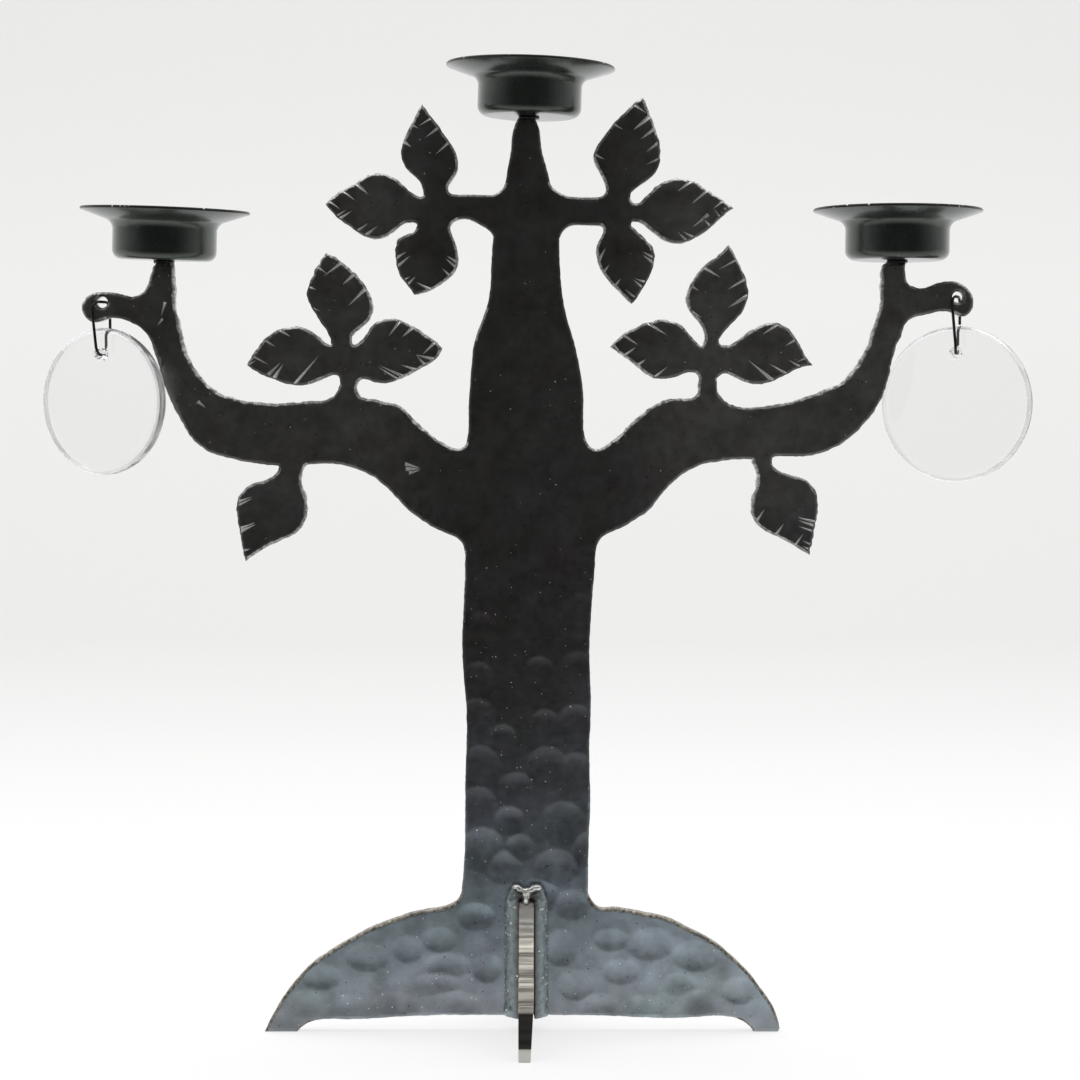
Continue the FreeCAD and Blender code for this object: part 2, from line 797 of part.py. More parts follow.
def link(side):
    """A wire bent to a narrow loop through the eye and the disc's hole."""
    half = link_width / 2
    bend = link_bend_radius
    eye = eye_place(side)
    hole = disc_hole_place(side)
    flat = half - bend
    yaw = math.radians(link_yaw)
    plate_run = plate_thickness / 2 / math.cos(yaw) - flat
    disc_run = disc_thickness / 2 / math.cos(yaw) - flat
    plate_drop = bend - math.sqrt(bend ** 2 - plate_run ** 2)
    disc_drop = bend - math.sqrt(bend ** 2 - disc_run ** 2)
    top = eye.z + plate_drop / 2
    bottom = hole.z - disc_drop / 2
    middle = (top + bottom) / 2
    slant = bend * math.sqrt(0.5)

    def spot(y, z):
        return FreeCAD.Vector(eye.x, y, z)

    edges = [
        Part.LineSegment(spot(half, middle + link_gap / 2), spot(half, top - bend)),
        Part.Arc(spot(half, top - bend), spot(flat + slant, top - bend + slant), spot(flat, top)),
        Part.LineSegment(spot(flat, top), spot(-flat, top)),
        Part.Arc(spot(-flat, top), spot(-flat - slant, top - bend + slant), spot(-half, top - bend)),
        Part.LineSegment(spot(-half, top - bend), spot(-half, bottom + bend)),
        Part.Arc(spot(-half, bottom + bend), spot(-flat - slant, bottom + bend - slant), spot(-flat, bottom)),
        Part.LineSegment(spot(-flat, bottom), spot(flat, bottom)),
        Part.Arc(spot(flat, bottom), spot(flat + slant, bottom + bend - slant), spot(half, bottom + bend)),
        Part.LineSegment(spot(half, bottom + bend), spot(half, middle - link_gap / 2)),
    ]
    path = Part.Wire([edge.toShape() for edge in edges])
    start = spot(half, middle + link_gap / 2)
    section = Part.Wire([Part.Circle(start, FreeCAD.Vector(0, 0, 1), wire_diameter / 2).toShape()])
    solid = path.makePipeShell([section], True, False)
    solid.rotate(eye, FreeCAD.Vector(0, 0, 1), link_yaw)
    return solid


def disc(side):
    """A clear glass disc with one hole near its rim."""
    radius = (left_disc_diameter if side < 0 else right_disc_diameter) / 2
    hole = disc_hole_place(side)
    centre = hole - at(0, radius - disc_hole_wall - disc_hole_diameter / 2)
    back = FreeCAD.Vector(0, 1, 0)
    half = FreeCAD.Vector(0, disc_thickness / 2, 0)
    blank = Part.makeCylinder(radius, disc_thickness, centre - half, back)
    rims = [edge for edge in blank.Edges if len(edge.Vertexes) == 1]
    blank = blank.makeFillet(disc_edge_radius, rims)
    blank = blank.cut(Part.makeCylinder(disc_hole_diameter / 2, 2 * disc_thickness, hole - 2 * half, back))
    blank.rotate(hole, FreeCAD.Vector(0, 0, 1), disc_yaw)
    return blank


def parts():
    named = {"tree_plate": tree_plate()}
    for name, front in (("front", True), ("rear", False)):
        named[name + "_foot"] = foot(front)
        named[name + "_weld_left"] = at_side(bead(1 if front else -1), front)
        named[name + "_weld_right"] = at_side(bead(-1 if front else 1), front)
        named[name + "_weld_tack"] = tack(front)
    for name, (place, leans) in cup_places().items():
        named[name + "_cup"] = cup(place, leans)
        named[name + "_cup_weld"] = cup_collar(place, leans)
    for name, side in (("left", -1), ("right", 1)):
        named[name + "_ring"] = link(side)
        named[name + "_disc"] = disc(side)
    return named


os.makedirs("parts", exist_ok=True)
for node, shape in parts().items():
    shape.exportStep("parts/" + node + ".step")
    box = shape.BoundBox
    print(node, shape.ShapeType, len(shape.Solids), shape.isValid(), round(shape.Volume, 1),
          [round(v, 2) for v in (box.XMin, box.YMin, box.ZMin, box.XMax, box.YMax, box.ZMax)])
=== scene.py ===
# %% [markdown]
# A blacksmith's candelabra, cut like a tree from one sheet of 6 mm steel. The model that
# fits and moves comes in as a fixed frame, and this lesson dresses it: hammer marks, chisel
# cuts, flame-cut edges, welds, pressed cups and clear glass. Everything is in metres.

# %% The frame
import bpy
import bmesh
import json
import math
import random
from functools import partial
from mathutils import Euler, Matrix, Vector, noise


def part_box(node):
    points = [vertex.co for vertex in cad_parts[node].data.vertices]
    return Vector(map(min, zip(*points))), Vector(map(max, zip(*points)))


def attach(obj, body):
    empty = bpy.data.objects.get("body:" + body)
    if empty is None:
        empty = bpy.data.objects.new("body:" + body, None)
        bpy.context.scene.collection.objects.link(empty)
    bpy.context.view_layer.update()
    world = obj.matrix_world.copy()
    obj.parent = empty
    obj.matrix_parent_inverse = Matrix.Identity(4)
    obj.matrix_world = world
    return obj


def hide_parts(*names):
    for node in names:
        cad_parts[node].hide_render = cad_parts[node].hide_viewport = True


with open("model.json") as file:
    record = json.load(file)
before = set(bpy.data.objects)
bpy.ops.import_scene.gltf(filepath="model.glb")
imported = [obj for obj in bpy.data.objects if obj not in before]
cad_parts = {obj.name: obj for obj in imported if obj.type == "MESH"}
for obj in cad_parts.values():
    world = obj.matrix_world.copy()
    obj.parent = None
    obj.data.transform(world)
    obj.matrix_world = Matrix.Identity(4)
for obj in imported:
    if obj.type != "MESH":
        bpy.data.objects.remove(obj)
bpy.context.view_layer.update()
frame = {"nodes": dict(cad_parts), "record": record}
mm = 0.001

# %% [markdown]
# The camera comes first, because the hammer and chisel marks are placed by where the
# photograph shows them. A long lens nearly a metre away, a little above the middle of the
# tree, looks down by about three degrees.

# %% Camera
photo_px = 1080
focal_px = 2450
viewpoint = Vector((4, -983, 249)) * mm
look_down = math.radians(2.9)

camera_data = bpy.data.cameras.new("camera")
camera_data.sensor_width = 36
camera_data.lens = camera_data.sensor_width * focal_px / photo_px
camera = bpy.data.objects.new("camera", camera_data)
camera.location = viewpoint
camera.rotation_euler = (math.radians(90) - look_down, 0, 0)
bpy.context.scene.collection.objects.link(camera)
bpy.context.scene.camera = camera
bpy.context.scene.view_settings.view_transform = "Standard"
print("lens:", round(camera_data.lens, 1), "mm")

# %% [markdown]
# A sightline from the camera through a pixel meets the plate's front face in one point. One
# function works that point out, so that each mark on the steel can be written down as it lies
# in the photograph, without measuring it on the model first.

# %% From a pixel to the plate
plate_low, plate_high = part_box("tree_plate")
front_y = plate_low.y
back_y = plate_high.y
plate_half = (back_y - front_y) / 2
camera_turn = Euler(camera.rotation_euler).to_matrix()


def on_front(px, row):
    """The point on the plate's front face that lies behind a pixel of the photograph."""
    sightline = camera_turn @ Vector((px - photo_px / 2, photo_px / 2 - row, -focal_px))
    return viewpoint + sightline * ((front_y - viewpoint.y) / sightline.y)


px_size = (on_front(541, 540) - on_front(540, 540)).length
print("one pixel on the plate:", round(px_size / mm, 3), "mm")

# %% [markdown]
# Every finish here is worked steel or glass. Colours are written as the hex values that a
# painter would mix, so one function turns them to the linear values that light needs.
# One small function adds a node with its settings and its links. The tables say which sockets
# its values go to, where that isn't simply the first ones, and what is set unless told.

# %% Colours and nodes
socket_order = {
    "TexNoise": ("Vector", "Scale", "Detail", "Roughness"),
    "TexVoronoi": ("Vector", "Scale"),
    "Mapping": ("Vector", "Scale"),
    "MapRange": ("Value", "From Min", "From Max", "To Min", "To Max"),
    "Bump": ("Height", "Distance", "Normal"),
    "Mix": (0, 6, 7),
}
usual_inputs = {"TexNoise": {"Detail": 3.0, "Roughness": 0.55}}
usual_settings = {"Mix": {"data_type": "RGBA"}}


def linear(hex_text, alpha=1.0):
    """An sRGB hex colour as linear light."""
    shades = [int(hex_text[i:i + 2], 16) / 255 for i in (1, 3, 5)]
    return [s / 12.92 if s <= 0.04045 else ((s + 0.055) / 1.055) ** 2.4 for s in shades] + [alpha]


def add_node(tree, kind, *values, inputs=None, stops=(), **settings):
    """One node with its settings, the values or links of its sockets and a ramp's stops. Gives
    its first output."""
    node = tree.nodes.new("ShaderNode" + kind)
    for name, value in {**usual_settings.get(kind, {}), **settings}.items():
        setattr(node, name, value)
    in_order = dict(zip(socket_order.get(kind, range(len(values))), values))
    for socket, value in {**usual_inputs.get(kind, {}), **in_order, **(inputs or {})}.items():
        if isinstance(value, bpy.types.NodeSocket):
            tree.links.new(value, node.inputs[socket])
        else:
            node.inputs[socket].default_value = value
    for number, (position, shade) in enumerate(stops):
        if number > 1:
            node.color_ramp.elements.new(1.0)
        node.color_ramp.elements[number].position = position
        node.color_ramp.elements[number].color = linear(shade)
    return next((output for output in node.outputs if output.enabled), None)


def wide(size_mm):
    """The scale of a pattern whose blotches or cells are so many millimetres wide."""
    return 1 / (size_mm * mm)


def new_finish(name):
    """An empty material, the call that adds its nodes, and the coordinates its patterns read."""
    finish = bpy.data.materials.new(name)
    finish.use_nodes = True
    tree = finish.node_tree
    tree.nodes.clear()
    add = partial(add_node, tree)
    return finish, add, add("TexCoord").node.outputs["Object"]


def surface(add, inputs):
    """The surface of a finish, joined to its output."""
    add("OutputMaterial", add("BsdfPrincipled", inputs=inputs))


def blotches(add, place, size_mm, *levels):
    """Noise with blotches of a size, whose low to high is stretched from 0 to 1 or as told."""
    return add("MapRange", add("TexNoise", place, wide(size_mm)), *levels)


def specks(add, place, spacing_mm, radius_mm, share):
    """Small ragged spots: 1 inside a spot, 0 outside. A share of the cells has one, and wide
    noise makes that share larger here and smaller there, so that the spots lie in clusters."""
    cells = add("TexVoronoi", place, wide(spacing_mm)).node.outputs
    ragged = blotches(add, place, 1.0, 0.3, 0.7, 0.0, 1.6 * radius_mm / spacing_mm)
    spot = add("Math", cells["Distance"], ragged, operation="LESS_THAN")
    odds = add("Math", blotches(add, place, 25, 0.35, 0.65, 0.3, 1.7), share, operation="MULTIPLY")
    chosen = add("Math", add("SeparateColor", cells["Color"]), odds, operation="LESS_THAN")
    return add("Math", spot, chosen, operation="MULTIPLY")


print("middle grey as linear light:", round(linear("#808080")[0], 3))

# %% [markdown]
# The plate is mild steel, heated, hammered, blackened with oil and waxed. Black scale is
# thickest high up, and towards the base the hammer has burnished it to a blue grey. That blue
# grey grows lighter towards the base partly as painted reflection of the white floor. The wax
# leaves a soft sheen, and grit shows as pale specks and black pits. The leaves begin beside
# and above the trunk, and there the hammer has thinned and brightened the steel.

# %% Blackened plate
trunk_side = 34 * mm
trunk_top = 190 * mm


def blackened_plate():
    """Brown black above and blue grey below, half mirror, clouded, oily, pitted and gritty."""
    finish, add, place = new_finish("blackened hammered steel")
    parts = add("SeparateXYZ", place).node.outputs
    across, height = parts["X"], parts["Z"]
    drift = blotches(add, place, 30, 0.3, 0.7, -18 * mm, 18 * mm)
    level = add("Math", height, drift, operation="ADD")
    # Lighter blue grey towards the base: partly the burnished finish, partly painted reflection of
    # the white floor.
    shade = add("ValToRGB", add("MapRange", level, 0.0, 240 * mm), stops=(
        (0.00, "#82868c"), (0.12, "#8f99a2"), (0.25, "#808b95"), (0.32, "#696f77"),
        (0.40, "#5c5f65"), (0.60, "#4b494b"), (1.00, "#4b4a49")))
    rusty = blotches(add, place, 22, 0.52, 0.72, 0.0, 0.35)
    base = add("Mix", rusty, shade, linear("#3a2f2b"))
    oily = blotches(add, place, 34, 0.45, 0.62, 0.0, 0.5)
    base = add("Mix", oily, base, add("Mix", 1.0, base, linear("#dae2d2"), blend_type="MULTIPLY"))
    cloudy = blotches(add, place, 6, 0.3, 0.7, 0.8, 1.16)
    base = add("Mix", 1.0, base, cloudy, blend_type="MULTIPLY")
    thin = add("MapRange", add("Math", across, operation="ABSOLUTE"), trunk_side, 60 * mm)
    leafy = add("MapRange", height, trunk_top, 215 * mm, 1.0, 1.75)
    base = add("Mix", thin, base, add("Mix", 1.0, base, leafy, blend_type="MULTIPLY"))
    # Painted light: the plate is made lighter towards the right, as light from that side would make
    # it.
    worn = add("MapRange", across, -60 * mm, 80 * mm, 0.97, 1.2)
    base = add("Mix", 1.0, base, worn, blend_type="MULTIPLY")
    pits = specks(add, place, 2.0, 0.24, add("MapRange", height, 40 * mm, 110 * mm, 0.75, 0.35))
    base = add("Mix", pits, base, linear("#131313"))
    grit = specks(add, place, 2.0, 0.22, add("MapRange", height, 170 * mm, 210 * mm, 0.36, 0.1))
    base = add("Mix", grit, base, linear("#e6e6e0"))
    peened = add("Bump", add("TexNoise", place, wide(6.0)), 0.1 * mm)
    rough = blotches(add, place, 3, 0.3, 0.7, 0.27, 0.4)
    surface(add, {
        "Base Color": base,
        "Metallic": 0.72,
        "Roughness": rough,
        "Normal": add("Bump", add("TexNoise", place, wide(0.8)), 0.03 * mm, peened),
    })
    return finish


plate_finish = blackened_plate()
print("made:", plate_finish.name)

# %% [markdown]
# A torch leaves a paler edge than the rolled face, with fine drag lines straight through the
# plate. Noise that is stretched along Y, the plate's thickness, gives those lines all round
# the outline. A chisel cut is bare bright steel.

# %% Cut edges and chisel cuts


def cut_edge():
    """Brown and sooty along the base, silver higher up, lined straight through the plate."""
    finish, add, place = new_finish("flame cut edge")
    through = add("Mapping", place, (1, 0.12, 1))
    lines = add("TexNoise", through, wide(1.1), 2.0)
    high = add("MapRange", add("SeparateXYZ", place).node.outputs["Z"], 50 * mm, 150 * mm)
    pale = add("Mix", high, linear("#a39d92"), linear("#bcbcb9"))
    dark = add("Mix", high, linear("#57524a"), linear("#72726f"))
    sooty = blotches(add, place, 7, 0.5, 0.7, 0.0, 0.6)
    shade = add("Mix", add("MapRange", lines, 0.35, 0.62), dark, pale)
    surface(add, {
        "Base Color": add("Mix", sooty, shade, linear("#3b3a37")),
        "Metallic": 0.6,
        "Roughness": add("MapRange", lines, 0.3, 0.7, 0.36, 0.52),
        "Normal": add("Bump", lines, 0.12 * mm),
    })
    return finish


def chisel_cut():
    """Bare steel, so bright that each cut reads as a white line with fine streaks."""
    finish, add, place = new_finish("bare chisel cut steel")
    lines = add("TexNoise", place, wide(0.5))
    pale = add("MapRange", lines, 0.3, 0.7)
    surface(add, {
        "Base Color": add("Mix", pale, linear("#b4b4b0"), linear("#f4f4f0")),
        "Metallic": 0.75,
        "Roughness": 0.34,
        "Normal": add("Bump", lines, 0.03 * mm),
    })
    return finish


def foot_edge():
    """Smooth at its top, lined further down, black on the steep front, bright at the toe. The
    black front and the bright toe are painted reflection, of the dark room and of the light above.
    """
    finish, add, place = new_finish("flame cut foot edge")
    height = add("SeparateXYZ", place).node.outputs["Z"]
    across = add("Mapping", place, (0.04, 1, 1))
    lines = add("TexNoise", across, wide(3.0), 4.0, 0.65)
    smooth = add("MapRange", height, 43 * mm, 47 * mm)
    # Painted reflection: the steep front is painted near black, for the dark room it would mirror.
    steep = add("MapRange", height, 18 * mm, 19 * mm, 1.0, 0.0)
    toe = add("MapRange", height, 4.3 * mm, 4.8 * mm, 1.0, 0.0)
    shade = add("Mix", add("MapRange", lines, 0.38, 0.6), linear("#57534c"), linear("#cbc7bd"))
    shade = add("Mix", smooth, shade, linear("#a3a19b"))
    shade = add("Mix", steep, shade, linear("#2c2b29"))
    plain = add("Math", toe, add("MapRange", height, 46 * mm, 49 * mm), operation="ADD")
    surface(add, {
        # Painted reflection: the toe is painted pale, for the light above that its slope would
        # mirror.
        "Base Color": add("Mix", toe, shade, linear("#d9d7d0")),
        "Metallic": add("MapRange", plain, 0.0, 1.0, 0.7, 0.2),
        "Roughness": add("MapRange", lines, 0.3, 0.7, 0.34, 0.5),
        "Normal": add("Bump", lines, 0.15 * mm),
    })
    return finish


edge_finish = cut_edge()
foot_edge_finish = foot_edge()
chisel_finish = chisel_cut()
on_face, on_edge, on_cut = range(3)
print("made:", edge_finish.name, "and", chisel_finish.name)

# %% [markdown]
# Weld metal cools to a pale green grey with glassy scale, and a wire brush leaves bright
# specks on its ridges. How dark it is depends on how far it lies from the foot's middle, so
# the finish measures that distance in place of being painted by hand.

# %% Weld metal
foot_low, foot_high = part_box("front_foot")
foot_axis = (foot_low.x + foot_high.x) / 2


def weld_metal(axis_x):
    """Dark in the groove beside the foot, and bright with brushed specks where the bead ends."""
    finish, add, place = new_finish("brushed weld metal")
    across = add("SeparateXYZ", place).node.outputs["X"]
    away = add("Math", add("Math", across, axis_x, operation="SUBTRACT"), operation="ABSOLUTE")
    cloudy = blotches(add, place, 2.4, 0.35, 0.65)
    groove = add("MapRange", away, 3.2 * mm, 6.0 * mm, 0.85, 0.0)
    shade = add("Mix", cloudy, linear("#747e80"), linear("#99a4a5"))
    shade = add("Mix", groove, shade, linear("#4a4443"))
    bright = add("MapRange", away, 7.0 * mm, 8.6 * mm, 0.1, 0.9)
    shade = add("Mix", specks(add, place, 1.3, 0.42, bright), shade, linear("#f0f0ea"))
    surface(add, {
        "Base Color": shade,
        "Metallic": 0.7,
        "Roughness": add("MapRange", cloudy, 0.0, 1.0, 0.3, 0.46),
        "Normal": add("Bump", add("TexNoise", place, wide(1.2)), 0.05 * mm),
    })
    return finish


def bright_weld():
    """The last tack, left unblackened: a rippled silver blob that catches the eye."""
    finish, add, place = new_finish("fresh weld metal")
    ripple = add("TexNoise", place, wide(1.3))
    crests = add("MapRange", ripple, 0.35, 0.65)
    surface(add, {
        "Base Color": add("Mix", crests, linear("#a3a39f"), linear("#f4f4f0")),
        "Metallic": 0.85,
        "Roughness": 0.3,
        "Normal": add("Bump", ripple, 0.15 * mm),
    })
    return finish


weld_finish = weld_metal(foot_axis)
tack_finish = bright_weld()
print("made:", weld_finish.name, "and", tack_finish.name)

# %% [markdown]
# The cups are pressed sheet, sprayed gunmetal: smooth, half glossy and a little dusty. A thin
# coat over the metal gives the spray's own soft shine. The wire is black annealed iron, with
# no coat at all.

# %% Cups and wire


def gunmetal_cup():
    """A green black half gloss, even and smooth, with a few pale specks of dust."""
    finish, add, place = new_finish("gunmetal sprayed pressing")
    dusty = blotches(add, place, 12, 0.35, 0.65)
    shade = add("Mix", dusty, linear("#414642"), linear("#4c514d"))
    shade = add("Mix", specks(add, place, 2.4, 0.14, 0.06), shade, linear("#9da09a"))
    surface(add, {
        "Base Color": shade,
        "Metallic": 0.85,
        "Roughness": add("MapRange", dusty, 0.0, 1.0, 0.25, 0.3),
        "Normal": add("Bump", add("TexNoise", place, wide(0.6), 1.0), 0.002 * mm),
        "Coat Weight": 0.25,
        "Coat Roughness": 0.15,
    })
    return finish


def dark_lip():
    """The rolled lip, where the spray is thick and rubbed."""
    finish, add, place = new_finish("dark rolled lip")
    rubbed = specks(add, place, 1.6, 0.4, 0.25)
    surface(add, {
        "Base Color": add("Mix", rubbed, linear("#1d1e1c"), linear("#c9c9c2")),
        "Metallic": 0.5,
        "Roughness": 0.4,
    })
    return finish


def annealed_wire():
    """Black scale on soft wire, nearly dull, so a link reads as one dark line."""
    finish, add, place = new_finish("black annealed wire")
    scale = add("TexNoise", place, wide(0.9))
    shade = add("Mix", add("MapRange", scale, 0.4, 0.7), linear("#111111"), linear("#2b2a29"))
    surface(add, {
        "Base Color": shade,
        "Metallic": 0.4,
        "Roughness": 0.42,
        "Normal": add("Bump", scale, 0.02 * mm),
    })
    return finish


cup_finish = gunmetal_cup()
lip_finish = dark_lip()
wire_finish = annealed_wire()
print("made:", cup_finish.name, "and", wire_finish.name)

# %% [markdown]
# The discs are clear cast glass. Glass shows by what it bends and mirrors, so it needs hardly
# any colour. The rim is the exception: melted round by a flame, it is painted a milky white, a
# painted glow for the light that the round rim gathers.

# %% Glass


def clear_glass():
    """Clear and colourless, with slow waves that bend what lies behind it."""
    finish, add, place = new_finish("clear cast glass")
    surface(add, {
        "Base Color": linear("#fcfcfc"),
        "Roughness": 0.02,
        "IOR": 1.5,
        "Transmission Weight": 1.0,
        "Normal": add("Bump", add("TexNoise", place, wide(14), 1.0), 0.03 * mm),
    })
    return finish


def painted_glow_rim():
    """The rim that the flame has rounded, a little milky: a painted glow for the light it gathers.
    """
    finish, add, place = new_finish("flame polished glass rim")
    streaks = add("TexNoise", add("Mapping", place, (0.3, 3, 0.3)), wide(4.0))
    surface(add, {
        # Painted glow: the white base colour shows where less light passes through.
        "Base Color": linear("#fafafa"),
        "Roughness": 0.08,
        "IOR": 1.5,
        "Transmission Weight": add("MapRange", streaks, 0.35, 0.65, 0.25, 0.7),
    })
    return finish


glass_finish = clear_glass()
painted_glow_rim_finish = painted_glow_rim()
print("finishes:", len(bpy.data.materials))

# %% [markdown]
# Worked pieces start as copies of the fixed ones. The fixed shapes come as loose triangles,
# so a copy's doubled corners are merged and its flat faces made whole.

# %% Copies that can be worked
merge_gap = 0.01 * mm
flat_angle = math.radians(0.4)


def copy_of(node):
    """A fixed piece's shape as one closed skin."""
    shape = bmesh.new()
    shape.from_mesh(frame["nodes"][node].data)
    bmesh.ops.remove_doubles(shape, verts=shape.verts, dist=merge_gap)
    bmesh.ops.dissolve_degenerate(shape, edges=shape.edges, dist=merge_gap)
    bmesh.ops.dissolve_limit(shape, angle_limit=flat_angle, verts=shape.verts, edges=shape.edges)
    return shape


def as_object(shape, name):
    """Puts a shape in the scene."""
    mesh = bpy.data.meshes.new(name)
    shape.to_mesh(mesh)
    shape.free()
    made = bpy.data.objects.new(name, mesh)
    bpy.context.scene.collection.objects.link(made)
    return made


def bevelled(shape, parts, width, segments, affect="EDGES", clamp=True, material=-1):
    """Rounds a shape's edges, or the corners of a line."""
    bmesh.ops.bevel(shape, geom=parts, offset=width, offset_type="OFFSET", segments=segments,
                    profile=0.5, affect=affect, clamp_overlap=clamp, material=material)


def line_through(shape, places):
    """Draws a line through places and gives its points."""
    line = [shape.verts.new(place) for place in places]
    for first, second in zip(line, line[1:]):
        shape.edges.new((first, second))
    return line


print("corners closer than this are merged:", merge_gap / mm, "mm")

# %% [markdown]
# A flat face has points only at its outline, and a hammer mark needs points to move. Planes
# halve a face again and again into small cells. That keeps the outline crisp, which a voxel
# remesh would round off.

# %% Slices


def halve(shape, faces, axis, low, cells, step):
    """Cuts faces in half square to an axis, then their halves, until a strip is one cell wide."""
    if cells < 2 or not faces:
        return
    middle = low + (cells // 2) * step
    normal = Vector([1.0 if i == axis else 0.0 for i in range(3)])
    edges = list({edge for face in faces for edge in face.edges})
    cut = bmesh.ops.bisect_plane(shape, geom=edges + faces, dist=merge_gap / 10,
                                 plane_co=normal * middle, plane_no=normal)
    pieces = [g for g in cut["geom"] if isinstance(g, bmesh.types.BMFace)]
    lower = [f for f in pieces if f.calc_center_median()[axis] < middle]
    upper = [f for f in pieces if f.calc_center_median()[axis] >= middle]
    halve(shape, lower, axis, low, cells // 2, step)
    halve(shape, upper, axis, middle, cells - cells // 2, step)


def slice_up(shape, faces, steps):
    """Slices faces to cells of about the steps' size along X, Y and Z, where a step is given."""
    for axis, step in enumerate(steps):
        if step:
            places = [v.co[axis] for f in faces for v in f.verts]
            kept = set(shape.faces) - set(faces)
            low, high = min(places), max(places)
            cells = math.ceil((high - low) / step)
            halve(shape, faces, axis, low, cells, (high - low) / cells)
            faces = [f for f in shape.faces if f not in kept]


print("slices: square to X, Y and Z in turn")

# %% [markdown]
# A worked shape becomes an object that rides on its body, so it moves when the body does. It
# is shaded smooth, but an edge that turns more than the crease angle stays sharp.

# %% Finished pieces
plate_crease = math.radians(35)
round_crease = math.radians(60)


def finished(shape, name, finishes, body, node, crease=plate_crease):
    """Makes the shape an object, smooth but for its creases, that rides on a body and takes
    the place of a fixed piece."""
    piece = as_object(shape, name)
    for finish in finishes:
        piece.data.materials.append(finish)
    piece.data.shade_smooth()
    piece.data.set_sharp_from_angle(angle=crease)
    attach(piece, body)
    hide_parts(node)
    print(name, len(piece.data.polygons), "faces")
    return piece


print("creases from", round(math.degrees(plate_crease)), "degrees")

# %% [markdown]
# The hammer marks are shallow round dents. Noise could scatter them, but the eye knows this
# trunk by where they lie, so each is listed by the pixel of its middle and half its width and
# height in the photograph.

# %% Where the hammer fell
trunk_marks = [
    (477, 719, 21, 21), (480, 766, 21, 21), (478, 806, 20, 20), (482, 850, 23, 23),
    (503, 867, 19, 17), (517, 790, 20, 18), (547, 768, 22, 22), (576, 773, 21, 21),
    (563, 824, 23, 23), (556, 868, 22, 19), (538, 897, 22, 17), (509, 821, 16, 15),
    (584, 565, 19, 21), (582, 611, 18, 19), (579, 672, 21, 21), (539, 672, 17, 16),
    (478, 679, 18, 18), (575, 724, 20, 20), (482, 628, 17, 18), (502, 738, 15, 14),
    (545, 724, 16, 15), (586, 850, 14, 18), (520, 848, 15, 14), (476, 917, 19, 14),
    (572, 905, 18, 15),
]
base_marks = [
    (367, 957, 22, 15), (408, 949, 16, 14), (321, 977, 21, 13), (440, 940, 17, 13),
    (561, 948, 18, 19), (611, 940, 18, 11), (650, 944, 25, 17), (696, 956, 25, 16),
    (739, 991, 18, 14), (487, 968, 16, 15), (576, 985, 19, 16), (621, 972, 20, 13),
]
scallops = [
    (448, 966, 24, 13), (437, 985, 25, 12), (455, 1004, 27, 13), (396, 1006, 26, 14),
    (348, 1008, 22, 13), (305, 1005, 18, 15), (600, 1006, 20, 12), (645, 1008, 24, 13),
    (700, 1004, 22, 14), (680, 985, 20, 12),
]
faint_marks = [
    (416, 161, 19, 17), (529, 212, 21, 18), (552, 265, 18, 23), (167, 375, 14, 24),
    (380, 195, 18, 15), (428, 262, 20, 21), (628, 150, 22, 25), (672, 205, 23, 16),
    (628, 262, 20, 21), (520, 320, 23, 25), (545, 380, 23, 25), (500, 420, 23, 25),
    (528, 480, 27, 23), (400, 430, 25, 21), (660, 430, 25, 21), (240, 420, 23, 19),
    (820, 420, 23, 19), (330, 300, 21, 23), (290, 350, 20, 16), (395, 350, 21, 16),
    (715, 300, 21, 23), (655, 350, 21, 16), (765, 350, 21, 16), (270, 510, 19, 23),
    (785, 510, 19, 23), (510, 560, 22, 21), (545, 610, 22, 21), (500, 600, 20, 20),
    (190, 330, 14, 23), (870, 330, 14, 23), (350, 410, 24, 20), (720, 410, 24, 20),
    (300, 425, 22, 18), (770, 425, 22, 18), (560, 520, 24, 22),
]
print("marks:", sum(map(len, (trunk_marks, base_marks, scallops, faint_marks))))

# %% [markdown]
# The hammer leaned, so most marks are steepest at the top. Where two meet, the deeper one
# wins, which leaves the crisp crescents that a real ball hammer leaves. The back gets marks
# of its own: the front's, each moved a little.

# %% Dents
mark_depth = 0.75 * mm
base_mark_depth = 0.5 * mm
scallop_depth = 0.42 * mm
faint_depth = 0.42 * mm


def mark_list(marks, depth, lean):
    """Each mark as its middle and half sizes on the plate, its depth and how the hammer leaned."""
    found = []
    for px, row, half_width, half_height in marks:
        middle = on_front(px, row)
        found.append((middle.x, middle.z, half_width * px_size, half_height * px_size, depth, lean))
    return found


front_marks = (mark_list(trunk_marks, mark_depth, 0.5)
               + mark_list(base_marks, base_mark_depth, -0.15)
               + mark_list(scallops, scallop_depth, 0.65)
               + mark_list(faint_marks, faint_depth, 0.3))
chance = random.Random(7)
back_shift = 6 * mm
back_marks = [(-x + chance.uniform(-1, 1) * back_shift, z + chance.uniform(-1, 1) * back_shift,
               a, b, depth, lean) for x, z, a, b, depth, lean in front_marks]


def dent(x, z, marks):
    """How deep the hammer has pressed the face at a point."""
    deepest = 0.0
    for middle_x, middle_z, a, b, depth, lean in marks:
        along, up = (x - middle_x) / a, (z - middle_z) / b
        away = along ** 2 + up ** 2
        if away < 1:
            deepest = max(deepest, depth * (1 - away) * (1 + lean * up))
    return deepest


print("deepest mark:", round(max(mark[4] for mark in front_marks) / mm, 2), "mm")

# %% [markdown]
# The veins at the edges of the leaves are struck with a cold chisel. They are listed leaf by
# leaf as the pixels of their outer and inner ends.

